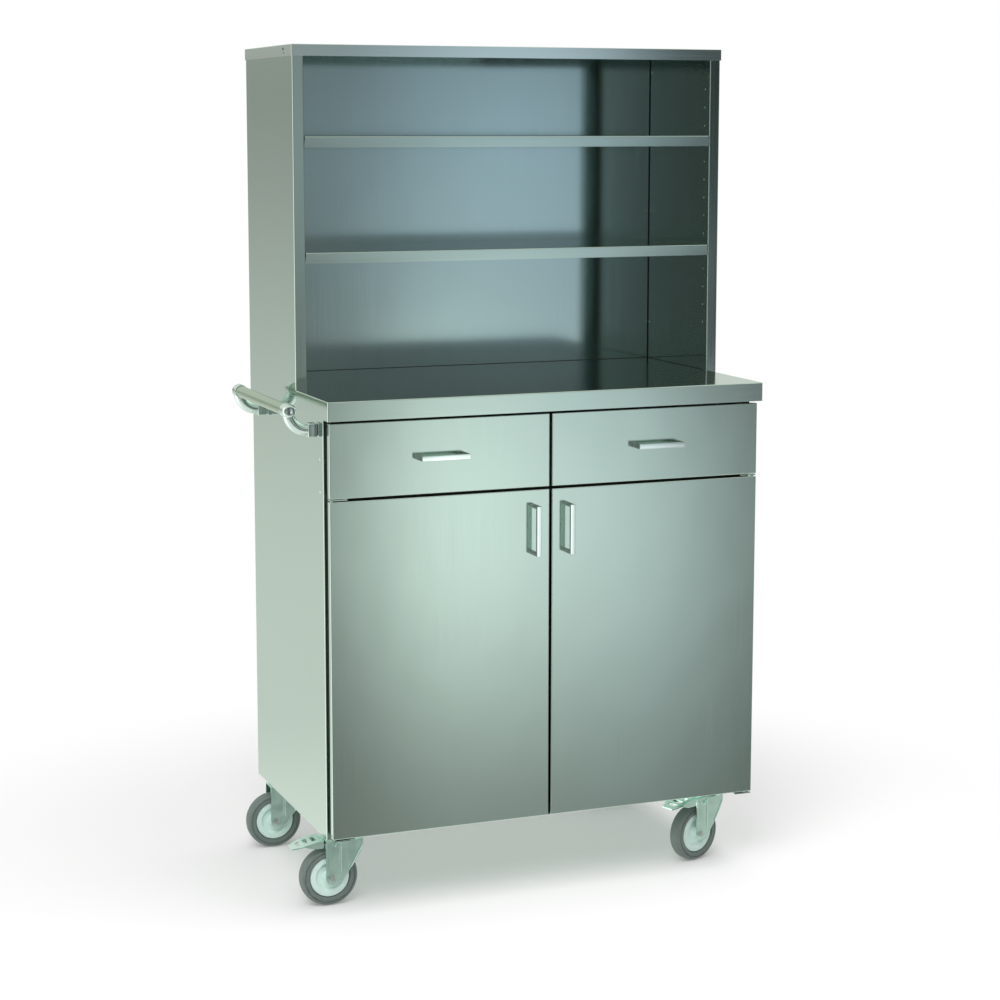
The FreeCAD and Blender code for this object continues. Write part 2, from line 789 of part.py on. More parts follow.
def door_hinge(end_z, upward):
    """Left hinge bracket: plate beyond the door's end, tab on the face frame, pivot pin."""
    near_z = end_z + upward * hinge_plate_gap
    far_z = near_z + upward * hinge_plate
    low, high = sorted((near_z, far_z))
    x0 = -front_outer + hinge_plate_set_back
    tab_x = -front_outer + hinge_tab_start
    plate = box(x0, tab_x + hinge_tab_width, front_face + hinge_plate_set_back,
                frame_front, low, high)
    tab = box(tab_x, tab_x + hinge_tab_width, frame_front - hinge_tab_sheet, frame_front,
              low, high + hinge_tab_height)
    pin_start = V(-hinge_x, hinge_y, far_z)
    pin = rod(pin_start, V(0, 0, -upward), hinge_pin_radius,
              hinge_plate + hinge_plate_gap + hinge_pin_depth)
    return plate.fuse(tab).fuse(pin)


def door_catch():
    """Left magnetic catch under the middle rail of the face frame."""
    return box(-catch_from_centre - catch_width / 2, -catch_from_centre + catch_width / 2,
               front_back + catch_face_gap, front_back + catch_face_gap + catch_depth,
               frame_mid_rail_bottom - catch_height, frame_mid_rail_bottom)


def door_handle():
    """Upright bow handle of the left door."""
    bow = bow_handle()
    bow.rotate(V(0, 0, 0), V(0, 1, 0), 90)
    bow.translate(V(-door_handle_from_centre, front_face,
                    door_top - door_handle_from_top - handle_length / 2))
    return bow


def build_doors():
    """Both doors, their hinges and catches."""
    for side, turn in (("left", lambda s: s), ("right", mirrored)):
        parts["door_%s_skin" % side] = turn(door_skin())
        parts["door_%s_liner" % side] = turn(door_liner())
        parts["door_%s_handle" % side] = turn(door_handle())
    hinges = [door_hinge(door_top, 1), door_hinge(door_bottom, -1)]
    parts["door_hinges"] = group(hinges + [mirrored(h) for h in hinges])
    parts["door_catches"] = group([door_catch(), mirrored(door_catch())])


# ---------------------------------------------------------------- drawers
def drawer_box():
    """Left drawer: sheet-metal box with a backing plate that closes the front skin."""
    x0 = -half_opening + runner_space
    x1 = -half_post - runner_space
    tub = pan((x0, x1, front_back - box_sheet, front_back + box_depth, box_bottom,
               box_top), 2, True, box_sheet)
    t = front_sheet
    backing = box(-front_outer + t, -half_front_gap - t, front_back - box_sheet, front_back,
                  drawer_front_bottom + t, drawer_front_top - t)
    return tub.fuse(backing).removeSplitter()


def drawer_handle():
    """Level bow handle in the middle of the left drawer front."""
    bow = bow_handle()
    bow.translate(V(-(front_outer + half_front_gap) / 2, front_face,
                    (drawer_front_bottom + drawer_front_top) / 2))
    return bow


def channel(x0, x1, lip_x, half_height, y0, y1):
    """Runner member: upright web x0..x1 with two lips reaching to lip_x."""
    z = runner_centre_height
    t = runner_sheet
    web = box(x0, x1, y0, y1, z - half_height, z + half_height)
    a, b = sorted((x1 if lip_x > x1 else x0, lip_x))
    upper = box(a, b, y0, y1, z + half_height - t, z + half_height)
    lower = box(a, b, y0, y1, z - half_height, z - half_height + t)
    return web.fuse(upper).fuse(lower).removeSplitter()


def runner_set(wall_x, inward):
    """Fixed, middle and inner member of one runner; inward is the side of the drawer."""
    t = runner_sheet

    def placed(web_at, lip_to, half_height, length):
        ends = sorted((wall_x + inward * web_at, wall_x + inward * (web_at + t)))
        return channel(ends[0], ends[1], wall_x + inward * lip_to, half_height,
                       runner_front, runner_front + length)

    outer_half = runner_height / 2
    middle_half = outer_half - t - runner_play
    inner_half = middle_half - t - runner_play
    inner_web = runner_space - t
    return (placed(0, runner_outer_lip, outer_half, runner_length),
            placed(runner_middle_offset, runner_middle_offset + t + runner_middle_lip,
                   middle_half, runner_length),
            placed(inner_web, inner_web - runner_inner_lip, inner_half, runner_inner_length))


def build_drawers():
    """Both drawers with their runners."""
    sets = [runner_set(-half_opening, 1), runner_set(-half_post, -1)]
    for side, turn in (("left", lambda s: s), ("right", mirrored)):
        parts["drawer_%s_skin" % side] = turn(front_skin(
            -front_outer, -half_front_gap, drawer_front_bottom, drawer_front_top))
        parts["drawer_%s_box" % side] = turn(drawer_box())
        parts["drawer_%s_handle" % side] = turn(drawer_handle())
        parts["runner_%s_middle" % side] = group([turn(s[1]) for s in sets])
        parts["runner_%s_inner" % side] = group([turn(s[2]) for s in sets])
    fixed = [s[0] for s in sets]
    parts["runner_fixed_members"] = group(fixed + [mirrored(s) for s in fixed])


# ---------------------------------------------------------------- casters
def caster_places():
    """Name, swivel axis place and turn of each caster."""
    return (("front_left", -swivel_x, swivel_from_front, 0.0),
            ("front_right", swivel_x, swivel_from_front, front_right_turn),
            ("rear_left", -swivel_x, swivel_back_y, 0.0),
            ("rear_right", swivel_x, swivel_back_y, 0.0))


def plate_bolt_offsets():
    """Places of the four bolts round the swivel axis."""
    return [(sx * plate_hole_x / 2, sy * plate_hole_y / 2)
            for sx in (-1, 1) for sy in (-1, 1)]


def all_plate_bolts():
    """Places of all caster bolts."""
    return [(x + dx, y + dy) for _, x, y, _ in caster_places()
            for dx, dy in plate_bolt_offsets()]


def caster_plate(x, y):
    """Top plate with the king pin riveted under the fork's crown."""
    plate = box(x - plate_length / 2, x + plate_length / 2, y - plate_width / 2,
                y + plate_width / 2, plate_bottom, cabinet_bottom)
    pin_end = fork_crown_bottom - bearing_gap - king_pin_head
    pin = rod(V(x, y, pin_end), V(0, 0, 1), king_pin_radius, plate_bottom - pin_end)
    head = rod(V(x, y, pin_end), V(0, 0, 1), king_pin_head_radius, king_pin_head)
    solid = plate.fuse(pin).fuse(head)
    holes = [rod(V(x + dx, y + dy, plate_bottom - cut_past), V(0, 0, 1), plate_bolt_radius,
                 plate_thickness + 2 * cut_past) for dx, dy in plate_bolt_offsets()]
    return solid.cut(group(holes))


def caster_bolt(x, y):
    """Bolt from below through the caster plate and the cabinet floor."""
    head = Part.makeCylinder(plate_bolt_head_radius, plate_bolt_head,
                             V(x, y, plate_bottom - plate_bolt_head), V(0, 0, 1))
    shank = rod(V(x, y, plate_bottom), V(0, 0, 1), plate_bolt_radius, plate_bolt_grip)
    return head.fuse(shank)


def bearing_ring(x, y):
    """Swivel bearing housing between plate and crown."""
    low = fork_crown_top + bearing_gap
    outer = rod(V(x, y, low), V(0, 0, 1), bearing_radius, plate_bottom - low)
    return outer.cut(rod(V(x, y, low - cut_past), V(0, 0, 1), bearing_bore,
                         plate_bottom - low + 2 * cut_past))


def fork_leg_outline():
    """Corners of a fork leg in the caster's own X and Z: wide at the crown, narrow below."""
    left = -swivel_offset - fork_back
    middle = left + fork_foot_radius
    corners = [(left, fork_crown_bottom), (left, wheel_radius)]
    steps = 8
    for i in range(1, steps + 1):
        angle = math.radians(180 + (fork_foot_turn - 180) * i / steps)
        corners.append((middle + fork_foot_radius * math.cos(angle),
                        wheel_radius + fork_foot_radius * math.sin(angle)))
    for x, below in zip(fork_gusset_x, fork_gusset_below_crown):
        corners.append((x, fork_crown_bottom - below))
    corners.append((fork_front, fork_shoulder_height))
    corners.append((fork_front, fork_crown_bottom))
    return corners


def fork(braked):
    """Pressed fork in the caster's own frame: crown, two legs, axle and pin holes."""
    crown = box(-swivel_offset - fork_back, fork_front, -fork_outer_half, fork_outer_half,
                fork_crown_bottom, fork_crown_top)
    crown = crown.makeFillet(fork_edge_radius, edges_where(crown, z=fork_crown_top))
    solid = crown
    for y0, y1 in ((-fork_outer_half, -fork_inner_half), (fork_inner_half, fork_outer_half)):
        solid = solid.fuse(prism(fork_leg_outline(), y0, y1))
    solid = solid.removeSplitter()
    cuts = [rod(V(0, 0, fork_crown_bottom - cut_past), V(0, 0, 1),
                king_pin_radius + king_pin_clearance, fork_crown_sheet + 2 * cut_past),
            rod(V(-swivel_offset, -2 * fork_outer_half, wheel_radius), V(0, 1, 0),
                axle_radius, 4 * fork_outer_half)]
    if braked:
        cuts.append(rod(V(pedal_pivot_x, -2 * fork_outer_half, pedal_pivot_height),
                        V(0, 1, 0), pedal_pin_radius + pedal_pin_clearance,
                        4 * fork_outer_half))
    return solid.cut(group(cuts))


def revolved(points):
    """Ring turned about the wheel axle from an outline of radius and half-width points."""
    corners = [V(-swivel_offset, y, wheel_radius + r) for r, y in points]
    face = Part.Face(Part.makePolygon(corners + corners[:1]))
    return face.revolve(V(-swivel_offset, 0, wheel_radius), V(0, 1, 0), 360)


def wheel_disc():
    """Dished wheel disc with hub."""
    bore = axle_radius + axle_clearance
    half = [(bore, hub_half), (hub_radius, hub_half), (hub_radius, disc_dish_half),
            (disc_step_radius - disc_step, disc_dish_half), (disc_step_radius, disc_rim_half),
            (tyre_inner_radius, disc_rim_half)]
    return revolved(half + [(r, -y) for r, y in reversed(half)])


def tyre():
    """Solid rubber tyre with rounded shoulders and a shallow groove beside the rim."""
    half = tyre_width / 2
    seat = tyre_inner_radius
    side = [(seat, half - tyre_side_groove), (seat + tyre_side_groove, half)]
    steps = 5
    for i in range(steps + 1):
        angle = math.pi / 2 * i / steps
        side.append((wheel_radius - tyre_shoulder + tyre_shoulder * math.sin(angle),
                     half - tyre_shoulder + tyre_shoulder * math.cos(angle)))
    return revolved(side + [(r, -y) for r, y in reversed(side)])


def axle_bolt():
    """Axle bolt with a round head and a nut outside the fork legs."""
    start = V(-swivel_offset, -fork_outer_half - axle_head, wheel_radius)
    shank = rod(start, V(0, 1, 0), axle_radius, 2 * (fork_outer_half + axle_head))
    head = rod(start, V(0, 1, 0), axle_head_radius, axle_head)
    nut = rod(V(-swivel_offset, fork_outer_half, wheel_radius), V(0, 1, 0),
              axle_head_radius, axle_head)
    return shank.fuse(head).fuse(nut)


def brake_pedal():
    """Stepped brake pedal: pivot pin, inner plate, riser and sloping tread with skirts."""
    t = pedal_sheet
    outer_half = fork_outer_half + pedal_skirt_gap + t
    inner = box(pedal_riser, pedal_inner_end, -pedal_inner_half, pedal_inner_half,
                pedal_inner_height, pedal_inner_height + t)
    riser = box(pedal_riser, pedal_riser + t, -pedal_inner_half, pedal_inner_half,
                pedal_inner_height, pedal_root_top)
    slope = (pedal_root_top - pedal_tip_top) / (pedal_riser - pedal_tip)
    outline = [(pedal_riser + t, pedal_root_top), (pedal_riser + t, pedal_root_top - pedal_skirt),
               (pedal_tip + pedal_skirt, pedal_tip_top - pedal_tip_skirt), (pedal_tip, pedal_tip_top - t),
               (pedal_tip, pedal_tip_top)]
    tread = prism(outline, -outer_half, outer_half)
    tread = tread.makeFillet(pedal_tip_radius, edges_along(tread, "z", x=pedal_tip))
    run = pedal_riser - pedal_tip
    under = prism([(pedal_riser + 2 * t, pedal_root_top - t + slope * t),
                   (pedal_riser + 2 * t, pedal_root_top - 3 * pedal_skirt),
                   (pedal_tip + t, pedal_tip_top - 3 * pedal_skirt),
                   (pedal_tip + t, pedal_root_top - t - slope * (run - t))],
                  -outer_half + t, outer_half - t)
    tread = tread.cut(under)
    for i in range(pedal_slot_count):
        x = pedal_first_slot - i * pedal_slot_pitch
        tread = tread.cut(box(x - pedal_slot_width / 2, x + pedal_slot_width / 2,
                              -pedal_slot_length / 2, pedal_slot_length / 2,
                              pedal_tip_top - pedal_skirt, pedal_root_top + t))
    pin = rod(V(pedal_pivot_x, -fork_outer_half, pedal_pivot_height), V(0, 1, 0),
              pedal_pin_radius, 2 * fork_outer_half)
    return inner.fuse(riser).fuse(tread).fuse(pin).removeSplitter()


def place_caster(shape, x, y, turn):
    """Turn a caster piece about its swivel axis and move it to its corner."""
    placed = shape.copy()
    placed.rotate(V(0, 0, 0), V(0, 0, 1), turn)
    placed.translate(V(x, y, 0))
    return placed


def build_casters():
    """Four swivel casters, the front two with brake pedals."""
    for name, x, y, turn in caster_places():
        braked = name.startswith("front")
        parts["fork_" + name] = place_caster(fork(braked), x, y, turn)
        parts["wheel_disc_" + name] = place_caster(wheel_disc(), x, y, turn)
        parts["tyre_" + name] = place_caster(tyre(), x, y, turn)
        parts["axle_bolt_" + name] = place_caster(axle_bolt(), x, y, turn)
        if braked:
            parts["brake_pedal_" + name] = place_caster(brake_pedal(), x, y, turn)
    places = [(x, y) for _, x, y, _ in caster_places()]
    parts["caster_plates"] = group([caster_plate(x, y) for x, y in places])
    parts["caster_bolts"] = group([caster_bolt(x, y) for x, y in all_plate_bolts()])
    parts["swivel_bearings"] = group([bearing_ring(x, y) for x, y in places])


# ---------------------------------------------------------------- assembly
def export_all():
    """Move every node to the final origin and write it."""
    os.makedirs("parts", exist_ok=True)
    for name in sorted(parts):
        shape = parts[name].copy()
        shape.translate(V(shift_x, shift_y, 0))
        shape.exportStep("parts/%s.step" % name)


build_carcass()
build_shelves()
build_hutch()
build_push_handle()
build_doors()
build_drawers()
build_casters()
export_all()
print("nodes", len(parts), "shift", shift_x, shift_y)
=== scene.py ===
"""Looks of a mobile stainless steel service station: cabinet, worktop, shelf unit and casters.

Sizes in the classes are millimetres in the cabinet's own frame: X to the right seen from the
front and 0 between the side panels, Y to the back and 0 at the side panels' front edges, Z up
from the floor. Bench.lay_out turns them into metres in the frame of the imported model.
"""

import logging
import math
from dataclasses import dataclass, field
from enum import Enum

import bmesh
import bpy
from mathutils import Matrix, Vector


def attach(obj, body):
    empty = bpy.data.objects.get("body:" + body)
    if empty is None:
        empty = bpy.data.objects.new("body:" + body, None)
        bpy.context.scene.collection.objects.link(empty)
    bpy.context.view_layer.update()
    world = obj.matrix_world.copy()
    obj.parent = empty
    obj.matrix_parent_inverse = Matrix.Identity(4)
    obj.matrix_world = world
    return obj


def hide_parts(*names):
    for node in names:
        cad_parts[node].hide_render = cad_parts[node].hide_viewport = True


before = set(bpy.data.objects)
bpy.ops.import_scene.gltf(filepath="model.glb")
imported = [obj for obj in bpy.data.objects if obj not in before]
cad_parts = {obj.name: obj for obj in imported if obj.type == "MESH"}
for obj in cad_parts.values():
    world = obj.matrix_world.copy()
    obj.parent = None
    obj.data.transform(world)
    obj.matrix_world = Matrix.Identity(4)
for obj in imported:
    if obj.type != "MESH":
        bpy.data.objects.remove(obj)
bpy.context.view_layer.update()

LOG = logging.getLogger("service_station")
MM = 0.001
CABINET_PLACE_MM = Vector((36.25, -231.0, 0.0))
BEND_FACETS = 10
SHARP_DEGREES = 32.0
BROKEN_EDGE_DEGREES = 40.0
BROKEN_EDGE_MM = 0.2
WHITE = (1.0, 1.0, 1.0, 1.0)
Point = tuple[float, float, float]
Outline = list[tuple[float, float]]


class Axis(Enum):
    """Direction that a bar, a plate or a turned piece is built along."""

    X = 0
    Y = 1
    Z = 2

    def vector(self) -> Vector:
        """Return the unit vector of the axis."""
        return Vector([1.0 if i == self.value else 0.0 for i in range(3)])


class Grain(Enum):
    """Way the satin grain of a sheet runs."""

    UPRIGHT = 2
    ACROSS = 0
    DEEP = 1


# ------------------------------------------------------------------ colours and nodes
def linear(code: str) -> tuple[float, float, float, float]:
    """Turn an sRGB hex colour into linear values.

    Args:
        code: Colour such as "#C9D8CF".

    Returns:
        Red, green, blue and alpha, linear.
    """
    parts = [int(code[i : i + 2], 16) / 255.0 for i in (1, 3, 5)]
    red, green, blue = (
        c / 12.92 if c <= 0.04045 else ((c + 0.055) / 1.055) ** 2.4 for c in parts
    )
    return (red, green, blue, 1.0)


def add_node(
    tree: bpy.types.NodeTree,
    kind: str,
    settings: dict | None = None,
    sockets: dict | None = None,
    links: dict | None = None,
) -> bpy.types.Node:
    """Add one shader node.

    Args:
        tree: Node tree that gets the node.
        kind: Node type, such as "ShaderNodeTexNoise".
        settings: Attribute values by name.
        sockets: Input values by socket name or index.
        links: Source sockets by input name or index.

    Returns:
        The new node.
    """
    node = tree.nodes.new(kind)
    for key, value in (settings or {}).items():
        setattr(node, key, value)
    for key, value in (sockets or {}).items():
        node.inputs[key].default_value = value
    for key, source in (links or {}).items():
        tree.links.new(source, node.inputs[key])
    return node


def blank_material(name: str) -> tuple[bpy.types.Material, bpy.types.NodeTree]:
    """Start a node material.

    Args:
        name: Name of the finish.

    Returns:
        The material and its empty node tree.
    """
    material = bpy.data.materials.new(name)
    material.use_nodes = True
    material.node_tree.nodes.clear()
    return material, material.node_tree


def close_material(tree: bpy.types.NodeTree, sockets: dict, links: dict) -> None:
    """End a node tree with its surface and its output.

    Args:
        tree: The node tree.
        sockets: Input values of the surface by name.
        links: Source sockets of the surface by input name.
    """
    surface = add_node(tree, "ShaderNodeBsdfPrincipled", sockets=sockets, links=links)
    add_node(tree, "ShaderNodeOutputMaterial", links={"Surface": surface.outputs["BSDF"]})


def rays_that_see(tree: bpy.types.NodeTree) -> bpy.types.NodeSocket:
    """Tell the rays that see the studio from those that it lights.

    Args:
        tree: The node tree.

    Returns:
        Socket with 1 for camera, glossy and transmission rays and 0 for the rest.
    """
    path = add_node(tree, "ShaderNodeLightPath")
    seen = path.outputs["Is Camera Ray"]
    for kind in ("Is Glossy Ray", "Is Transmission Ray"):
        seen = add_node(
            tree,
            "ShaderNodeMath",
            settings={"operation": "ADD", "use_clamp": True},
            links={0: seen, 1: path.outputs[kind]},
        ).outputs[0]
    return seen


# ------------------------------------------------------------------ finishes
@dataclass(frozen=True)
class SatinSteel:
    """Cold-rolled AISI 304 sheet, ground to a fine satin.

    The belt leaves long parallel scratches, so the sheet mirrors softly, a little duller in
    some streaks, and the thin sheet is never quite flat, so reflections swim slightly.
    """

    name: str
    grain: Grain = Grain.UPRIGHT
    pale: str = "#CDDCD4"
    deep: str = "#C3D3CA"
    dull: float = 0.16
    bright: float = 0.13
    scratch_width_mm: float = 2.4  # real scratches are 0.05 mm; drawn coarser so they show
    scratch_length_mm: float = 220.0
    scratch_depth_mm: float = 0.002
    wave_mm: float = 170.0
    wave_depth_mm: float = 0.22

    def material(self) -> bpy.types.Material:
        """Make the finish as a node material.

        Returns:
            The material.
        """
        material, tree = blank_material(self.name)
        place = add_node(tree, "ShaderNodeTexCoord").outputs["Object"]
        scale = [1.0 / (self.scratch_width_mm * MM)] * 3
        scale[self.grain.value] = 1.0 / (self.scratch_length_mm * MM)
        along = add_node(
            tree, "ShaderNodeMapping", sockets={"Scale": scale}, links={"Vector": place}
        )
        scratch = add_node(
            tree,
            "ShaderNodeTexNoise",
            sockets={"Scale": 1.0, "Detail": 3.0, "Roughness": 0.65},
            links={"Vector": along.outputs["Vector"]},
        )
        wave = add_node(
            tree,
            "ShaderNodeTexNoise",
            sockets={"Scale": 1.0 / (self.wave_mm * MM), "Detail": 1.0},
            links={"Vector": place},
        )
        tone = add_node(
            tree,
            "ShaderNodeMix",
            settings={"data_type": "RGBA"},
            sockets={6: linear(self.deep), 7: linear(self.pale)},
            links={0: scratch.outputs["Fac"]},
        )
        streak = add_node(
            tree,
            "ShaderNodeMapRange",
            sockets={
                "From Min": 0.25,
                "From Max": 0.75,
                "To Min": self.bright,
                "To Max": self.dull,
            },
            links={"Value": scratch.outputs["Fac"]},
        )
        swim = add_node(
            tree,
            "ShaderNodeBump",
            sockets={"Strength": 1.0, "Distance": self.wave_depth_mm * MM},
            links={"Height": wave.outputs["Fac"]},
        )
        grain = add_node(
            tree,
            "ShaderNodeBump",
            sockets={"Strength": 1.0, "Distance": self.scratch_depth_mm * MM},
            links={"Height": scratch.outputs["Fac"], "Normal": swim.outputs["Normal"]},
        )
        close_material(
            tree,
            {"Metallic": 1.0},
            {
                "Base Color": tone.outputs[2],
                "Roughness": streak.outputs["Result"],
                "Normal": grain.outputs["Normal"],
            },
        )
        return material


@dataclass(frozen=True)
class PatchySkin:
    """Skin in two tones that vary in small soft patches, over a fine grit."""

    name: str
    pale: str
    deep: str
    patch_mm: float

    def skin(
        self,
        tree: bpy.types.NodeTree,
        patch_detail: float,
        grit_mm: float,
        grit_depth_mm: float,
        grit_detail: float,
    ) -> tuple[bpy.types.NodeSocket, bpy.types.NodeSocket, bpy.types.NodeSocket]:
        """Draw the patches, their two tones and the grit.

        Args:
            tree: The node tree.
            patch_detail: Octaves of the patches.
            grit_mm: Size of the grit.
            grit_depth_mm: Its depth.
            grit_detail: Its octaves.

        Returns:
            Sockets of the patches' factor, the colour and the normal.
        """
        place = add_node(tree, "ShaderNodeTexCoord").outputs["Object"]
        patch, grit = (
            add_node(
                tree,
                "ShaderNodeTexNoise",
                sockets={"Scale": 1.0 / (width * MM), "Detail": detail},
                links={"Vector": place},
            ).outputs["Fac"]
            for width, detail in ((self.patch_mm, patch_detail), (grit_mm, grit_detail))
        )
        tone = add_node(
            tree,
            "ShaderNodeMix",
            settings={"data_type": "RGBA"},
            sockets={6: linear(self.deep), 7: linear(self.pale)},
            links={0: patch},
        )
        relief = add_node(
            tree,
            "ShaderNodeBump",
            sockets={"Strength": 1.0, "Distance": grit_depth_mm * MM},
            links={"Height": grit},
        )
        return patch, tone.outputs[2], relief.outputs["Normal"]


@dataclass(frozen=True)
class MottledMetal(PatchySkin):
    """Metal whose skin varies in small soft patches, such as zinc plate or a cast bracket."""

    dull: float
    bright: float
    grit_mm: float = 0.6
    grit_depth_mm: float = 0.01

    def material(self) -> bpy.types.Material:
        """Make the finish as a node material.

        Returns:
            The material.
        """
        material, tree = blank_material(self.name)
        patch, colour, normal = self.skin(tree, 2.0, self.grit_mm, self.grit_depth_mm, 2.0)
        sheen = add_node(
            tree,
            "ShaderNodeMapRange",
            sockets={
                "From Min": 0.3,
                "From Max": 0.7,
                "To Min": self.bright,
                "To Max": self.dull,
            },
            links={"Value": patch},
        )
        close_material(
            tree,
            {"Metallic": 1.0},
            {"Base Color": colour, "Roughness": sheen.outputs["Result"], "Normal": normal},
        )
        return material


@dataclass(frozen=True)
class DullSolid(PatchySkin):
    """Paint, moulded nylon or rubber: a dielectric with a fine texture and a trace of dust."""

    roughness: float
    grit_mm: float
    grit_depth_mm: float
    ior: float = 1.5

    def material(self) -> bpy.types.Material:
        """Make the finish as a node material.

        Returns:
            The material.
        """
        material, tree = blank_material(self.name)
        _, colour, normal = self.skin(tree, 4.0, self.grit_mm, self.grit_depth_mm, 1.0)
        close_material(
            tree,
            {"Metallic": 0.0, "Roughness": self.roughness, "IOR": self.ior},
            {"Base Color": colour, "Normal": normal},
        )
        return material


class Finishes:
    """All finishes of the station, each made once."""

    def __init__(self) -> None:
        """Make the materials."""
        # Fronts, cabinet sides and back: soft mint-grey mirror with streaks up the sheet.
        self.upright = SatinSteel("satin AISI 304 sheet, upright grain").material()
        # Worktop and shelves: the same sheet with its streaks running from side to side.
        self.across = SatinSteel(
            "satin AISI 304 sheet, grain across", grain=Grain.ACROSS
        ).material()
        # Shelf unit's sides: rolled brighter, so that edges and folds mirror crisply.
        self.crisp = SatinSteel(
            "bright-rolled AISI 304 sheet", dull=0.085, bright=0.06, wave_depth_mm=0.1
        ).material()
        # Cap: the same sheet, smoother, its colour set a shade paler than the rest as a painted
        # highlight, so the cap reads brighter.
        self.cap = SatinSteel(
            "smooth AISI 304 cap sheet, paler as painted highlight",
            grain=Grain.ACROSS,
            pale="#EEF7F1",
            deep="#E6F0EA",
            dull=0.12,
            bright=0.09,
            wave_depth_mm=0.1,
        ).material()
        # Shelf unit's back: softer, its reflections fade into each other; its colour is set
        # darker and bluer than the sheet's as painted shade and a painted bluish reflection of
        # the hutch's inside.
        self.back = SatinSteel(
            "satin AISI 304 back sheet", pale="#B5C6C4", deep="#ABBCBB", dull=0.13, bright=0.095
        ).material()
        # Cap screw and rivet: plated, coloured near-black as painted shade so that they read as
        # dark dots.
        self.dark_screw = DullSolid(
            "plated screw steel, near-black as painted shade", "#23282A", "#16191B", 4.0, 0.35, 0.5, 0.01
        ).material()
        # Drawer boxes and rails: streaks that run from front to back.
        self.deep = SatinSteel(
            "satin AISI 304 sheet, grain front to back", grain=Grain.DEEP
        ).material()
        # Grip: tube ground round and round, duller and warmer, one broad light along it; its
        # colour is set darker than the sheet's as painted shade, so it reads dimmer under the
        # bright window on the left.
        self.grip = SatinSteel(
            "satin round stainless tube",
            grain=Grain.DEEP,
            pale="#ABBCA8",
            deep="#A0B09E",
            dull=0.36,
            bright=0.26,
            wave_mm=60.0,
            wave_depth_mm=0.02,
        ).material()
        # Bow handles: buffed bar, a bright mirror with hard dark and light bands.
        self.polished = MottledMetal(
            "polished stainless handle bar", "#EAF3EE", "#DFE9E4", 25.0, 0.12, 0.07, 3.0, 0.001
        ).material()
        # Quarter-bend brackets: buffed casting, bluish, its bands a little soft.
        self.cast = MottledMetal(
            "polished die-cast aluminium", "#D9E5E2", "#CBD8D5", 9.0, 0.18, 0.12, 3.0, 0.003
        ).material()
        # Forks, pedals, top plates: smooth bright zinc with a pale green passivated tint.
        self.zinc = MottledMetal(
            "bright zinc-plated pressed steel",
            "#D9F4EB",
            "#C9E6DB",
            22.0,
            0.26,
            0.2,
            3.0,
            0.003,
        ).material()
        # Rivets, screws, pegs, runners: small bright plated parts, a bit greyer.
        self.plated = MottledMetal(
            "zinc-plated small fittings", "#D6DEDA", "#BCC6C1", 5.0, 0.32, 0.2, 0.6, 0.005
        ).material()
        # Recessed frame: coloured near-black as painted shade for the deep recess between the
        # fronts and the sides; the hutch's corner strips and the door catches share it.
        self.black = DullSolid(
            "matt near-black for painted shade and catches", "#14161A", "#0C0E10", 30.0, 0.5, 0.9, 0.02
        ).material()
        # Wheel centres: smooth pale plastic with a soft shine in the dish.
        self.nylon = DullSolid(
            "light grey moulded nylon", "#E2FAF3", "#D8F1E9", 12.0, 0.3, 2.0, 0.01
        ).material()
        # Tyres: mid grey, nearly matt, faintly dusty.
        self.rubber = DullSolid(
            "grey non-marking rubber", "#77837F", "#66726E", 6.0, 0.55, 0.5, 0.012
        ).material()


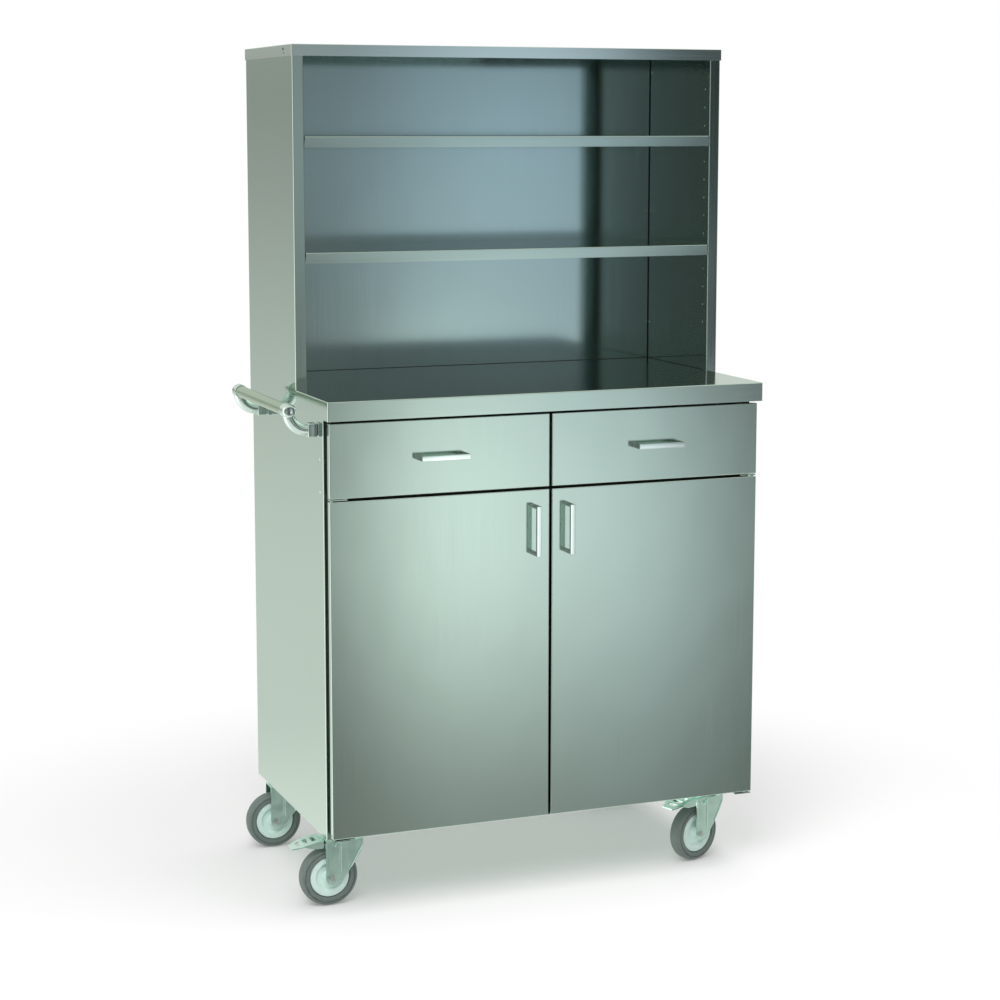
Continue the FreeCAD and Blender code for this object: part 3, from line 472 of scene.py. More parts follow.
# ------------------------------------------------------------------ bench tools
@dataclass
class Bench:
    """A bmesh in cabinet millimetres that ends as one finished piece."""

    bm: bmesh.types.BMesh = field(default_factory=bmesh.new)

    def block(self, low: Point, high: Point, rounding: float = 0.0, segments: int = 3) -> None:
        """Add a block with rounded edges.

        Args:
            low: Lowest corner.
            high: Highest corner.
            rounding: Edge radius, 0 for none.
            segments: Facets across the rounding.
        """
        verts = self.cube(low, high)
        if rounding > 0.0:
            self.round_edges({e for v in verts for e in v.link_edges}, rounding, segments)

    def cube(self, low: Point, high: Point) -> list[bmesh.types.BMVert]:
        """Add a sharp block.

        Args:
            low: Lowest corner.
            high: Highest corner.

        Returns:
            Its eight corners.
        """
        verts = bmesh.ops.create_cube(self.bm, size=1.0)["verts"]
        bmesh.ops.scale(self.bm, vec=Vector(high) - Vector(low), verts=verts)
        bmesh.ops.translate(self.bm, vec=(Vector(high) + Vector(low)) / 2, verts=verts)
        return verts

    def round_edges(
        self, edges: set[bmesh.types.BMEdge], radius: float, segments: int = 3
    ) -> None:
        """Round some edges.

        Args:
            edges: Edges of the bmesh.
            radius: Radius of the rounding.
            segments: Facets across it.
        """
        bmesh.ops.bevel(
            self.bm,
            geom=list(edges),
            offset=radius,
            offset_type="OFFSET",
            segments=segments,
            profile=0.5,
            affect="EDGES",
            material=-1,
            clamp_overlap=True,
        )

    def tray(self, low: Point, high: Point, open_side: Vector, bend: float) -> None:
        """Add a folded tray: a box skin with one side open and its folds rounded.

        Args:
            low: Lowest corner.
            high: Highest corner.
            open_side: Outward direction of the missing side.
            bend: Outer bend radius.
        """
        verts = self.cube(low, high)
        faces = {f for v in verts for f in v.link_faces}
        lid = [f for f in faces if f.normal.dot(open_side) > 0.9]
        bmesh.ops.delete(self.bm, geom=lid, context="FACES_ONLY")
        folds = {e for v in verts for e in v.link_edges if len(e.link_faces) == 2}
        self.round_edges(folds, bend, 4)

    def plate(
        self, outline: Outline, axis: Axis, start: float, end: float, rounding: float = 0.0
    ) -> None:
        """Add a plate cut to an outline.

        Args:
            outline: Corners in the two axes that follow the thickness axis.
            axis: Thickness axis.
            start: Where the plate starts along it.
            end: Where it ends.
            rounding: Edge radius, 0 for none.
        """
        a, b = (axis.value + 1) % 3, (axis.value + 2) % 3
        verts = []
        for u, v in outline:
            co = [0.0, 0.0, 0.0]
            co[a], co[b], co[axis.value] = u, v, start
            verts.append(self.bm.verts.new(co))
        _, moved = self.extrude(self.bm.faces.new(verts))
        bmesh.ops.translate(self.bm, vec=axis.vector() * (end - start), verts=moved)
        every = list({f for v in verts + moved for f in v.link_faces})
        bmesh.ops.recalc_face_normals(self.bm, faces=every)
        if rounding > 0.0:
            self.round_edges({e for v in verts + moved for e in v.link_edges}, rounding, 2)

    def extrude(
        self, face: bmesh.types.BMFace
    ) -> tuple[bmesh.types.BMFace, list[bmesh.types.BMVert]]:
        """Extrude one face by nothing, ready to be moved.

        Args:
            face: The face.

        Returns:
            The new end face and its corners.
        """
        grown = bmesh.ops.extrude_face_region(self.bm, geom=[face])["geom"]
        ends = [g for g in grown if isinstance(g, bmesh.types.BMFace)]
        return ends[0], [g for g in grown if isinstance(g, bmesh.types.BMVert)]

    def turned(
        self, profile: Outline, centre: Point, axis: Axis, steps: int = 48, closed: bool = False
    ) -> None:
        """Add a piece turned on a lathe.

        Args:
            profile: Points of radius and place along the axis.
            centre: Point on the axis where that place is 0.
            axis: Turning axis.
            steps: Facets round the axis.
            closed: Whether the profile is a ring's section, joined end to start.
        """
        side = (axis.value + 1) % 3
        verts = []
        for radius, along in profile:
            co = list(centre)
            co[side] += radius
            co[axis.value] += along
            verts.append(self.bm.verts.new(co))
        pairs = list(zip(verts, verts[1:])) + ([(verts[-1], verts[0])] if closed else [])
        edges = [self.bm.edges.new(pair) for pair in pairs]
        before = set(self.bm.faces)
        bmesh.ops.spin(
            self.bm,
            geom=verts + edges,
            cent=centre,
            axis=axis.vector(),
            dvec=(0.0, 0.0, 0.0),
            angle=2.0 * math.pi,
            steps=steps,
            use_merge=True,
            use_duplicate=False,
        )
        faces = [f for f in self.bm.faces if f not in before]
        bmesh.ops.remove_doubles(
            self.bm, verts=list({v for f in faces for v in f.verts}), dist=1e-4
        )
        faces = [f for f in self.bm.faces if f not in before]
        bmesh.ops.recalc_face_normals(self.bm, faces=faces)

    def rod_path(
        self, start: Point, heading: Vector, radius: float, moves: list, steps: int = 32
    ) -> None:
        """Add a solid round bar that runs straight and round bends.

        Args:
            start: Centre of the first end.
            heading: Direction in which it sets off.
            radius: Radius of the bar.
            moves: ("run", length) or ("bend", centre, axis, degrees) in order.
            steps: Facets round the bar.
        """
        ring = bmesh.ops.create_circle(
            self.bm, cap_ends=True, cap_tris=False, segments=steps, radius=radius
        )["verts"]
        turn = heading.to_track_quat("Z", "Y").to_matrix().to_4x4()
        bmesh.ops.transform(self.bm, matrix=Matrix.Translation(start) @ turn, verts=ring)
        made = set(ring)
        tip = [f for f in ring[0].link_faces if len(f.verts) == steps][0]
        way = heading.normalized()
        for move in moves:
            if move[0] == "run":
                tip, fresh = self.extrude(tip)
                bmesh.ops.translate(self.bm, vec=way * move[1], verts=fresh)
                made.update(fresh)
            else:
                _, centre, axis, degrees = move
                turn = Matrix.Rotation(math.radians(degrees / BEND_FACETS), 3, Vector(axis))
                for _ in range(BEND_FACETS):
                    tip, fresh = self.extrude(tip)
                    bmesh.ops.rotate(self.bm, cent=centre, matrix=turn, verts=fresh)
                    made.update(fresh)
                    way = turn @ way
        every = list({f for v in made if v.is_valid for f in v.link_faces})
        bmesh.ops.recalc_face_normals(self.bm, faces=every)

    def join(self, other: "Bench", place: Matrix | None = None) -> None:
        """Add a copy of another bench's work.

        Args:
            other: Bench whose work is copied.
            place: Transform of the copy, or None to leave it.
        """
        copy = bpy.data.meshes.new("copy")
        other.bm.to_mesh(copy)
        if place is not None:
            copy.transform(place)
        self.bm.from_mesh(copy)
        bpy.data.meshes.remove(copy)

    def lay_out(
        self,
        name: str,
        body: str,
        material: bpy.types.Material,
        stands_for: tuple[str, ...] = (),
        slot: str = "",
        sheet: float = 0.0,
        softened: float = 0.0,
    ) -> bpy.types.Object:
        """Make the finished piece.

        Args:
            name: Name of the piece.
            body: Body that it rides on.
            material: Its finish.
            stands_for: Nodes that it replaces.
            slot: Material slot of the record; not used.
            sheet: Sheet thickness grown inwards, 0 for a solid piece.
            softened: Width of the broken edges, 0 for none.

        Returns:
            The object, at the origin, in metres.
        """
        bmesh.ops.translate(self.bm, vec=CABINET_PLACE_MM, verts=self.bm.verts[:])
        bmesh.ops.scale(self.bm, vec=(MM, MM, MM), verts=self.bm.verts[:])
        mesh = bpy.data.meshes.new(name)
        self.bm.to_mesh(mesh)
        self.bm.free()
        mesh.shade_smooth()
        mesh.set_sharp_from_angle(angle=math.radians(SHARP_DEGREES))
        mesh.materials.append(material)
        piece = bpy.data.objects.new(name, mesh)
        bpy.context.scene.collection.objects.link(piece)
        if sheet > 0.0:
            wall = piece.modifiers.new("sheet", "SOLIDIFY")
            wall.thickness = sheet * MM
            wall.offset = -1.0
            wall.use_even_offset = True
        if softened > 0.0:
            edge = piece.modifiers.new("broken edges", "BEVEL")
            edge.width = softened * MM
            edge.segments = 2
            edge.limit_method = "ANGLE"
            edge.angle_limit = math.radians(BROKEN_EDGE_DEGREES)
        even = piece.modifiers.new("flat faces stay flat", "WEIGHTED_NORMAL")
        even.weight = 80
        even.keep_sharp = True
        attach(piece, body)
        if stands_for:
            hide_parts(*stands_for)
        LOG.info("piece %s rides on %s, %d faces", name, body, len(mesh.polygons))
        return piece


def hex_outline(across: float) -> Outline:
    """Return a hexagon's corners.

    Args:
        across: Width across the corners.

    Returns:
        Six corners.
    """
    return [
        (across / 2 * math.cos(math.pi / 3 * i), across / 2 * math.sin(math.pi / 3 * i))
        for i in range(6)
    ]


# ------------------------------------------------------------------ cabinet
@dataclass
class Worktop:
    """Folded worktop with its edge turned down."""

    half_width: float = 490.0
    front: float = -50.0
    back: float = 530.0
    bottom: float = 1040.0
    top: float = 1080.0
    bend: float = 2.2
    sheet: float = 1.5
    step: float = 174.0
    lap: float = 1.2

    def build(self, finishes: Finishes) -> None:
        """Build and dress the worktop; its sides step in where the shelf unit laps over.

        Args:
            finishes: The finishes.
        """
        bench = Bench()
        bench.tray(
            (-self.half_width, self.front, self.bottom),
            (self.half_width, self.back, self.top),
            Vector((0.0, 0.0, -1.0)),
            self.bend,
        )
        for y in (self.step, self.step + self.lap):
            bmesh.ops.bisect_plane(
                bench.bm,
                geom=bench.bm.verts[:] + bench.bm.edges[:] + bench.bm.faces[:],
                plane_co=(0.0, y, 0.0),
                plane_no=(0.0, 1.0, 0.0),
            )
        edge = self.half_width - 2.0 * self.bend
        for side in (-1.0, 1.0):
            verts = [
                v for v in bench.bm.verts
                if v.co.y > self.step + 0.5 * self.lap and v.co.x * side > edge
            ]
            bmesh.ops.translate(bench.bm, vec=(-side * self.lap, 0.0, 0.0), verts=verts)
        bench.lay_out(
            "worktop_skin",
            "carcass",
            finishes.across,
            ("worktop",),
            "stainless_sheet",
            sheet=self.sheet,
            softened=BROKEN_EDGE_MM,
        )


@dataclass
class ShelfUnit:
    """Hutch above the worktop: cap, two lipped shelves and near-black strips of painted shade
    in its corners.
    """

    half_width: float = 490.0
    front: float = 172.0
    back: float = 527.0
    top: float = 1794.0
    cap_proud: float = 2.0
    cap_lip: float = 24.0
    sheet: float = 1.2
    shelf_tops: tuple[float, float] = (1366.0, 1606.0)
    shelf_names: tuple[str, str] = ("lower", "upper")
    shelf_half: float = 486.8
    nose_half: float = 464.5
    notch: float = 193.5
    shelf_back: float = 521.6
    front_lip: float = 23.0
    side_lip: float = 14.0
    cap_bend: float = 1.1
    shelf_bend: float = 1.8
    foot: float = 1080.05
    seam: float = 1.8
    seam_depth: float = 0.6
    wall_face: float = 487.75
    back_face: float = 524.55
    cap_face: float = 1792.6

    def build(self, finishes: Finishes) -> None:
        """Build and dress the cap, the painted shadow-gap strips and the shelves.

        Args:
            finishes: The finishes.
        """
        cap = Bench()
        x = self.half_width + self.cap_proud
        cap.tray(
            (-x, self.front - self.cap_proud, self.top - self.cap_lip),
            (x, self.back + self.cap_proud, self.top),
            Vector((0.0, 0.0, -1.0)),
            self.cap_bend,
        )
        cap.lay_out(
            "hutch_cap_skin",
            "carcass",
            finishes.cap,
            ("hutch_cap",),
            "stainless_sheet",
            sheet=self.sheet,
            softened=BROKEN_EDGE_MM,
        )
        self.painted_shadow_gaps(finishes)
        for name, top in zip(self.shelf_names, self.shelf_tops):
            self.shelf(name, top, finishes)

    def painted_shadow_gaps(self, finishes: Finishes) -> None:
        """Build near-black strips in the corners of the hutch: painted shade for the shadow
        gaps where its sheets meet.

        Args:
            finishes: The finishes.
        """
        bench = Bench()
        wall, back, foot = self.wall_face, self.back_face, self.foot
        low, near = foot + self.seam_depth, back - self.seam_depth
        for x0, x1 in ((-wall, self.seam - wall), (wall - self.seam, wall)):
            bench.block((x0, near, foot), (x1, back, self.cap_face))
            bench.block((x0, self.notch, foot), (x1, near, low))
        bench.block((self.seam - wall, back - self.seam, foot), (wall - self.seam, back, low))
        bench.lay_out("hutch_painted_shadow_gaps", "carcass", finishes.black)

    def shelf(self, name: str, top: float, finishes: Finishes) -> None:
        """Build one shelf.

        Args:
            name: Which shelf.
            top: Height of its top face.
            finishes: The finishes.
        """
        bench = Bench()
        half, nose = self.shelf_half, self.nose_half
        outline = [
            (-nose, self.front),
            (nose, self.front),
            (nose, self.notch),
            (half, self.notch),
            (half, self.shelf_back),
            (-half, self.shelf_back),
            (-half, self.notch),
            (-nose, self.notch),
        ]
        verts = [bench.bm.verts.new((x, y, top)) for x, y in outline]
        face = bench.bm.faces.new(verts)
        face.normal_update()
        rim = list(face.edges)
        grown = bmesh.ops.extrude_edge_only(bench.bm, edges=rim)["geom"]
        lower = [g for g in grown if isinstance(g, bmesh.types.BMVert)]
        bmesh.ops.translate(bench.bm, vec=(0.0, 0.0, -self.side_lip), verts=lower)
        nose_verts = [v for v in lower if v.co.y < self.front + 0.5]
        extra = self.front_lip - self.side_lip
        bmesh.ops.translate(bench.bm, vec=(0.0, 0.0, -extra), verts=nose_verts)
        bmesh.ops.recalc_face_normals(bench.bm, faces=bench.bm.faces[:])
        if face.normal.z < 0:
            bmesh.ops.reverse_faces(bench.bm, faces=bench.bm.faces[:])
        folds = {
            e for e in bench.bm.edges
            if len(e.link_faces) == 2 and min(v.co.z for v in e.verts) > top - 1.0
        }
        bench.round_edges(folds, self.shelf_bend, 4)
        bench.lay_out(
            "shelf_" + name,
            "carcass",
            finishes.across,
            ("hutch_shelf_" + name,),
            "stainless_sheet",
            sheet=self.sheet,
        )


@dataclass
class FrontPanel:
    """Pressed skin of a door or drawer, with its edges turned back, and its bow handle."""

    name: str
    body: str
    x0: float
    x1: float
    z0: float
    z1: float
    handle_x: float
    handle_z: float
    handle_upright: bool
    face: float = -38.0
    back: float = -24.0
    bend: float = 1.8
    sheet: float = 1.2
    handle_length: float = 106.0
    handle_reach: float = 30.0
    bar_width: float = 11.0
    bar_thickness: float = 6.0
    edge: float = 1.0

    def build(self, finishes: Finishes) -> None:
        """Build and dress the skin and the handle.

        Args:
            finishes: The finishes.
        """
        bench = Bench()
        bench.tray(
            (self.x0, self.face, self.z0),
            (self.x1, self.back, self.z1),
            Vector((0.0, 1.0, 0.0)),
            self.bend,
        )
        bench.lay_out(
            self.name + "_front",
            self.body,
            finishes.upright,
            (self.name + "_skin",),
            "stainless_sheet",
            sheet=self.sheet,
            softened=BROKEN_EDGE_MM,
        )
        self.handle(finishes)

    def handle(self, finishes: Finishes) -> None:
        """Build the handle: a flat bar bent square at both ends.

        Args:
            finishes: The finishes.
        """
        half, t = self.handle_length / 2, self.bar_thickness
        y0, y1 = self.face - self.handle_reach, self.face
        bow = [
            (-half, y1),
            (-half, y0),
            (half, y0),
            (half, y1),
            (half - t, y1),
            (half - t, y0 + t),
            (-half + t, y0 + t),
            (-half + t, y1),
        ]
        bench = Bench()
        bench.plate(bow, Axis.Z, -self.bar_width / 2, self.bar_width / 2, self.edge)
        turn = Matrix.Rotation(math.radians(90.0), 4, "Y") if self.handle_upright else Matrix()
        placed = Bench()
        placed.join(bench, Matrix.Translation((self.handle_x, 0.0, self.handle_z)) @ turn)
        bench.bm.free()
        placed.lay_out(
            self.name + "_bow_handle",
            self.body,
            finishes.polished,
            (self.name + "_handle",),
            "polished_steel",
        )


@dataclass
class PushHandle:
    """Push handle on the left side: round tube between two cast quarter-bend brackets."""

    grip_x: float = -550.0
    height: float = 1057.0
    tube_radius: float = 12.5
    knuckle_radius: float = 14.5
    knuckle_length: float = 30.0
    knuckle_overhang: float = 13.0
    tube_lap: float = 12.0
    tube_chamfer: float = 1.5
    arm_radius: float = 12.0
    arm_drop: float = 2.5
    bend_radius: float = 38.0
    panel_x: float = -485.0
    block_width: float = 26.0
    block_height: float = 28.0
    block_foot: float = 5.0
    groove: float = 3.0
    brackets: tuple[tuple[float, int], ...] = ((24.0, 1), (400.0, -1))

    def build(self, finishes: Finishes) -> None:
        """Build and dress the tube and the brackets.

        Args:
            finishes: The finishes.
        """
        tube = Bench()
        inset = self.knuckle_length - self.knuckle_overhang - self.tube_lap
        y0 = self.brackets[0][0] + inset
        y1 = self.brackets[1][0] - inset
        r, end = self.tube_radius, self.tube_radius - self.tube_chamfer
        profile = [(end, y0), (r, y0 + 0.3), (r, y1 - 0.3), (end, y1)]
        tube.turned(profile, (self.grip_x, 0.0, self.height), Axis.Y, 64)
        tube.lay_out(
            "push_handle_grip",
            "carcass",
            finishes.grip,
            ("push_handle_tube",),
            "grip_tube",
        )
        for index, (y, way) in enumerate(self.brackets):
            self.bracket("front" if index == 0 else "back", y, way, finishes)

    def bracket(self, name: str, y: float, way: int, finishes: Finishes) -> None:
        """Build one bracket.

        Args:
            name: Which bracket.
            y: Place of its arm.
            way: 1 where the grip lies behind it, -1 where it lies in front.
            finishes: The finishes.
        """
        end_x = self.grip_x + self.bend_radius
        end_z = self.height - self.arm_drop - self.bend_radius
        arm = Bench()
        start = y - way * self.knuckle_overhang
        stop = start + way * self.knuckle_length
        k = self.knuckle_radius
        arm.turned(
            [(0.0, start), (k - 6.0, start), (k - 3.2, start + way * 0.9),
             (k - 1.1, start + way * 3.0), (k, start + way * 6.0), (k, stop - way * 0.8),
             (k - 0.8, stop), (0.0, stop)],
            (self.grip_x, 0.0, self.height),
            Axis.Y,
            40,
        )
        arm.rod_path(
            (self.grip_x, y, self.height),
            Vector((0.0, 0.0, -1.0)),
            self.arm_radius,
            [
                ("run", self.arm_drop),
                ("bend", (end_x, y, end_z + self.bend_radius), (0.0, 1.0, 0.0), -90.0),
            ],
        )
        w, h = self.block_width / 2, self.block_height / 2
        foot = self.panel_x - self.block_foot
        arm.block((end_x, y - w, end_z - h), (foot - self.groove, y + w, end_z + h), 2.0)
        arm.block((foot - self.groove - 4.0, y - w + 2.5, end_z - h + 2.5),
                  (self.panel_x - 1.0, y + w - 2.5, end_z + h - 2.5), 0.6)
        arm.block((foot, y - w, end_z - h), (self.panel_x, y + w, end_z + h), 1.2)
        nodes = ("push_handle_brackets",) if name == "front" else ()
        piece = arm.lay_out(
            "push_handle_bracket_" + name, "carcass", finishes.cast, nodes, "cast_aluminium"
        )
        if name == "back":
            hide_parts("push_handle_brackets")


# ------------------------------------------------------------------ casters
@dataclass
class Caster:
    """Swivel caster: fork, wheel disc, tyre, axle, and a brake pedal on the front ones."""

    place: str
    x: float
    y: float
    turn: float
    braked: bool
    radius: float = 62.5
    trail: float = 40.0
    fork_inner: float = 20.0
    fork_outer: float = 22.5
    crown_low: float = 141.0
    crown_top: float = 145.0
    crown_front: float = 31.0
    crown_back: float = -51.0

    def placed(self) -> Matrix:
        """Return the transform from the swivel axis to the cabinet."""
        return Matrix.Translation((self.x, self.y, 0.0)) @ Matrix.Rotation(
            math.radians(self.turn), 4, "Z"
        )

    def put(self, bench: Bench, name: str, body: str, material: bpy.types.Material,
            node: str, slot: str, softened: float = 0.0) -> None:
        """Place a piece of the caster and lay it out.

        Args:
            bench: Its work, about the swivel axis.
            name: Name of the piece.
            body: Body that it rides on.
            material: Its finish.
            node: Node that it replaces.
            slot: Material slot of the record.
            softened: Width of the broken edges.
        """
        placed = Bench()
        placed.join(bench, self.placed())
        bench.bm.free()
        placed.lay_out(
            name + "_" + self.place, body, material, (node + "_" + self.place,), slot,
            softened=softened,
        )

    def build(self, finishes: Finishes) -> None:
        """Build and dress all pieces of the caster.

        Args:
            finishes: The finishes.
        """
        wheel, fork = "wheel_" + self.place, "caster_" + self.place
        self.put(self.tyre(), "rubber_tyre", wheel, finishes.rubber, "tyre", "tyre_rubber")
        self.put(self.disc(), "wheel_centre", wheel, finishes.nylon, "wheel_disc",
                 "wheel_plastic")
        self.put(self.fork(), "pressed_fork", fork, finishes.zinc, "fork", "zinc_plated_steel")
        self.put(self.axle(), "wheel_axle", fork, finishes.plated, "axle_bolt",
                 "zinc_plated_steel")
        if self.braked:
            self.put(self.pedal(), "brake_lever", "brake_" + self.place, finishes.zinc,
                     "brake_pedal", "zinc_plated_steel")

    def tyre(self) -> Bench:
        """Turn the tyre: rounded tread, and a ring groove in each side wall.

        Returns:
            Bench with the tyre, about the swivel axis.
        """
        side = [(43.6, 9.5), (44.5, 14.2), (45.7, 15.8), (52.4, 16.0), (53.1, 13.9),
                (54.3, 13.8), (55.0, 15.3), (57.4, 14.4), (59.8, 12.4), (61.6, 9.4),
                (62.4, 6.0), (62.5, 2.5)]
        bench = Bench()
        profile = side + [(r, -w) for r, w in reversed(side)]
        bench.turned(profile, (-self.trail, 0.0, self.radius), Axis.Y, 72, closed=True)
        return bench

    def disc(self) -> Bench:
        """Turn the dished wheel centre with its hub.

        Returns:
            Bench with the disc, about the swivel axis.
        """
        side = [(4.05, 19.3), (10.8, 19.4), (12.4, 18.8), (13.0, 17.2), (13.6, 9.4),
                (15.2, 7.6), (24.6, 7.0), (27.0, 7.9), (29.4, 11.6), (31.6, 13.0),
                (40.6, 13.0), (42.3, 12.2), (43.1, 9.5)]
        bench = Bench()
        profile = side + [(r, -w) for r, w in reversed(side)]
        bench.turned(profile, (-self.trail, 0.0, self.radius), Axis.Y, 64, closed=True)
        return bench

    def leg_outline(self) -> Outline:
        """Draw a fork leg's outline for a plate along Y.

        Returns:
            Its (Z, X) corners.
        """
        left, foot = self.crown_back, 15.5
        middle = left + foot
        corners = [(left, self.crown_low + 2.0), (left, self.radius)]
        for i in range(1, 11):
            angle = math.radians(180.0 + 13.0 * i)
            corners.append(
                (middle + foot * math.cos(angle), self.radius + foot * math.sin(angle))
            )
        corners += [(-14.0, 56.5), (0.6, 76.0), (15.0, 95.5), (26.0, 114.0), (30.2, 124.0),
                    (self.crown_front, 130.0), (self.crown_front, self.crown_low + 2.0)]
        return [(z, x) for x, z in corners]

    def fork(self) -> Bench:
        """Press the fork: crown with rolled edges, two legs, each with a raised rib.

        Returns:
            Bench with the fork, about the swivel axis.
        """
        bench = Bench()
        bench.block(
            (self.crown_back, -self.fork_outer, self.crown_low),
            (self.crown_front, self.fork_outer, self.crown_top),
            1.8,
        )
        bench.turned(
            [(30.0, 0.0), (30.0, 1.2), (27.5, 2.6), (7.0, 2.6), (7.0, 0.0)],
            (0.0, 0.0, self.crown_top - 2.4), Axis.Z, 48, closed=True,
        )
        for side in (-1.0, 1.0):
            inner, outer = side * self.fork_inner, side * self.fork_outer
            leg = Bench()
            leg.plate(self.leg_outline(), Axis.Y, min(inner, outer), max(inner, outer), 0.7)
            rib = Bench()
            left = self.crown_back
            strap = [(left + 3.0, 138.0), (left + 3.0, 62.5), (left + 5.4, 55.8),
                     (left + 10.6, 51.4), (left + 17.0, 50.6), (left + 23.6, 53.6),
                     (left + 27.6, 59.4), (left + 28.4, 66.0), (left + 29.6, 138.0)]
            proud = side * 1.1
            rib.plate([(z, x) for x, z in strap], Axis.Y,
                      min(outer - proud, outer + proud), max(outer - proud, outer + proud), 0.9)
            bench.join(leg)
            bench.join(rib)
            leg.bm.free()
            rib.bm.free()
            sunk = outer - side * 2.6
            bench.rod_path((left + 30.6, sunk, 74.0), Vector((0.0, 0.0, 1.0)), 4.4,
                           [("run", 66.0)], 28)
            bench.rod_path((3.2, sunk, 84.0), Vector((26.0, 0.0, 46.0)), 3.6,
                           [("run", 50.0)], 28)
        return bench

    def axle(self) -> Bench:
        """Make the axle: shank, hexagon head with washer, and nut with the thread's end.

        Returns:
            Bench with the axle, about the swivel axis.
        """
        bench = Bench()
        centre = (-self.trail, 0.0, self.radius)
        bench.turned([(0.0, -27.0), (3.6, -27.0), (4.0, -26.5), (4.0, 26.6), (3.4, 27.4),
                      (0.0, 27.4)], centre, Axis.Y, 24)
        for side in (-1.0, 1.0):
            face = side * self.fork_outer
            washer = [(4.0, face + side * 1.0), (7.4, face + side * 1.0),
                      (7.5, face + side * 2.0), (4.0, face + side * 2.2)]
            bench.turned(washer, centre, Axis.Y, 32, closed=True)
            nut = [(self.radius + u, -self.trail + v) for u, v in hex_outline(13.8)]
            ends = sorted((face + side * 2.0, face + side * 4.8))
            bench.plate(nut, Axis.Y, ends[0], ends[1], 0.5)
        return bench

    def pedal(self) -> Bench:
        """Make the brake pedal: inner plate, riser, slotted tread with skirts, and pin.

        Returns:
            Bench with the pedal, about the swivel axis.
        """
        bench = Bench()
        half, tip, root = 25.7, -121.8, -56.0
        top, low, thick = 147.0, 133.0, 2.0
        bench.block((root, -18.0, 134.0), (-20.0, 18.0, 136.5), 0.6)
        bench.block((root - 1.0, -18.0, 134.0), (root + 1.5, 18.0, top - 1.0), 0.6)
        columns = [root, -62.0, -69.5, -78.5, -85.5, -94.5, -101.5, -110.5, -117.0, tip]
        rows = [-half, -half + 1.2, -13.0, 13.0, half - 1.2, half]
        slots = ((2, 2), (4, 2), (6, 2))
        verts = {}
        for i, x in enumerate(columns):
            along = (root - x) / (root - tip)
            z = top - (top - low) * along * along * (1.6 - 0.6 * along)
            narrow = 1.0 - 0.42 * max(0.0, along - 0.7) / 0.3
            for j, y in enumerate(rows):
                edge = 1.2 if j in (0, len(rows) - 1) else 0.0
                verts[i, j] = bench.bm.verts.new((x, y * narrow, z - edge))
        tread = [
            bench.bm.faces.new(
                (verts[i, j], verts[i + 1, j], verts[i + 1, j + 1], verts[i, j + 1])
            )
            for i in range(len(columns) - 1)
            for j in range(len(rows) - 1)
            if (i, j) not in slots
        ]
        grown = bmesh.ops.extrude_face_region(bench.bm, geom=tread)["geom"]
        under = [g for g in grown if isinstance(g, bmesh.types.BMVert)]
        bmesh.ops.translate(bench.bm, vec=(0.0, 0.0, -thick), verts=under)
        every = list({f for v in under + list(verts.values()) for f in v.link_faces})
        bmesh.ops.recalc_face_normals(bench.bm, faces=every)
        for side in (-1.0, 1.0):
            skirt = [(z, x) for x, z in ((root, top - 2.0), (-78.0, top - 3.2),
                                         (-96.0, top - 6.6), (-103.0, top - 9.0),
                                         (-92.0, top - 13.0), (-80.0, top - 16.5),
                                         (root, top - 16.5))]
            ends = sorted((side * (half - 0.2), side * (half - 2.2)))
            bench.plate(skirt, Axis.Y, ends[0], ends[1], 0.5)
        bench.turned([(0.0, -26.2), (4.6, -26.2), (5.0, -25.6), (5.0, -23.4), (3.0, -23.2),
                      (3.0, 23.2), (5.0, 23.4), (5.0, 25.6), (4.6, 26.2), (0.0, 26.2)],
                     (-26.0, 0.0, 132.5), Axis.Y, 28)
        return bench


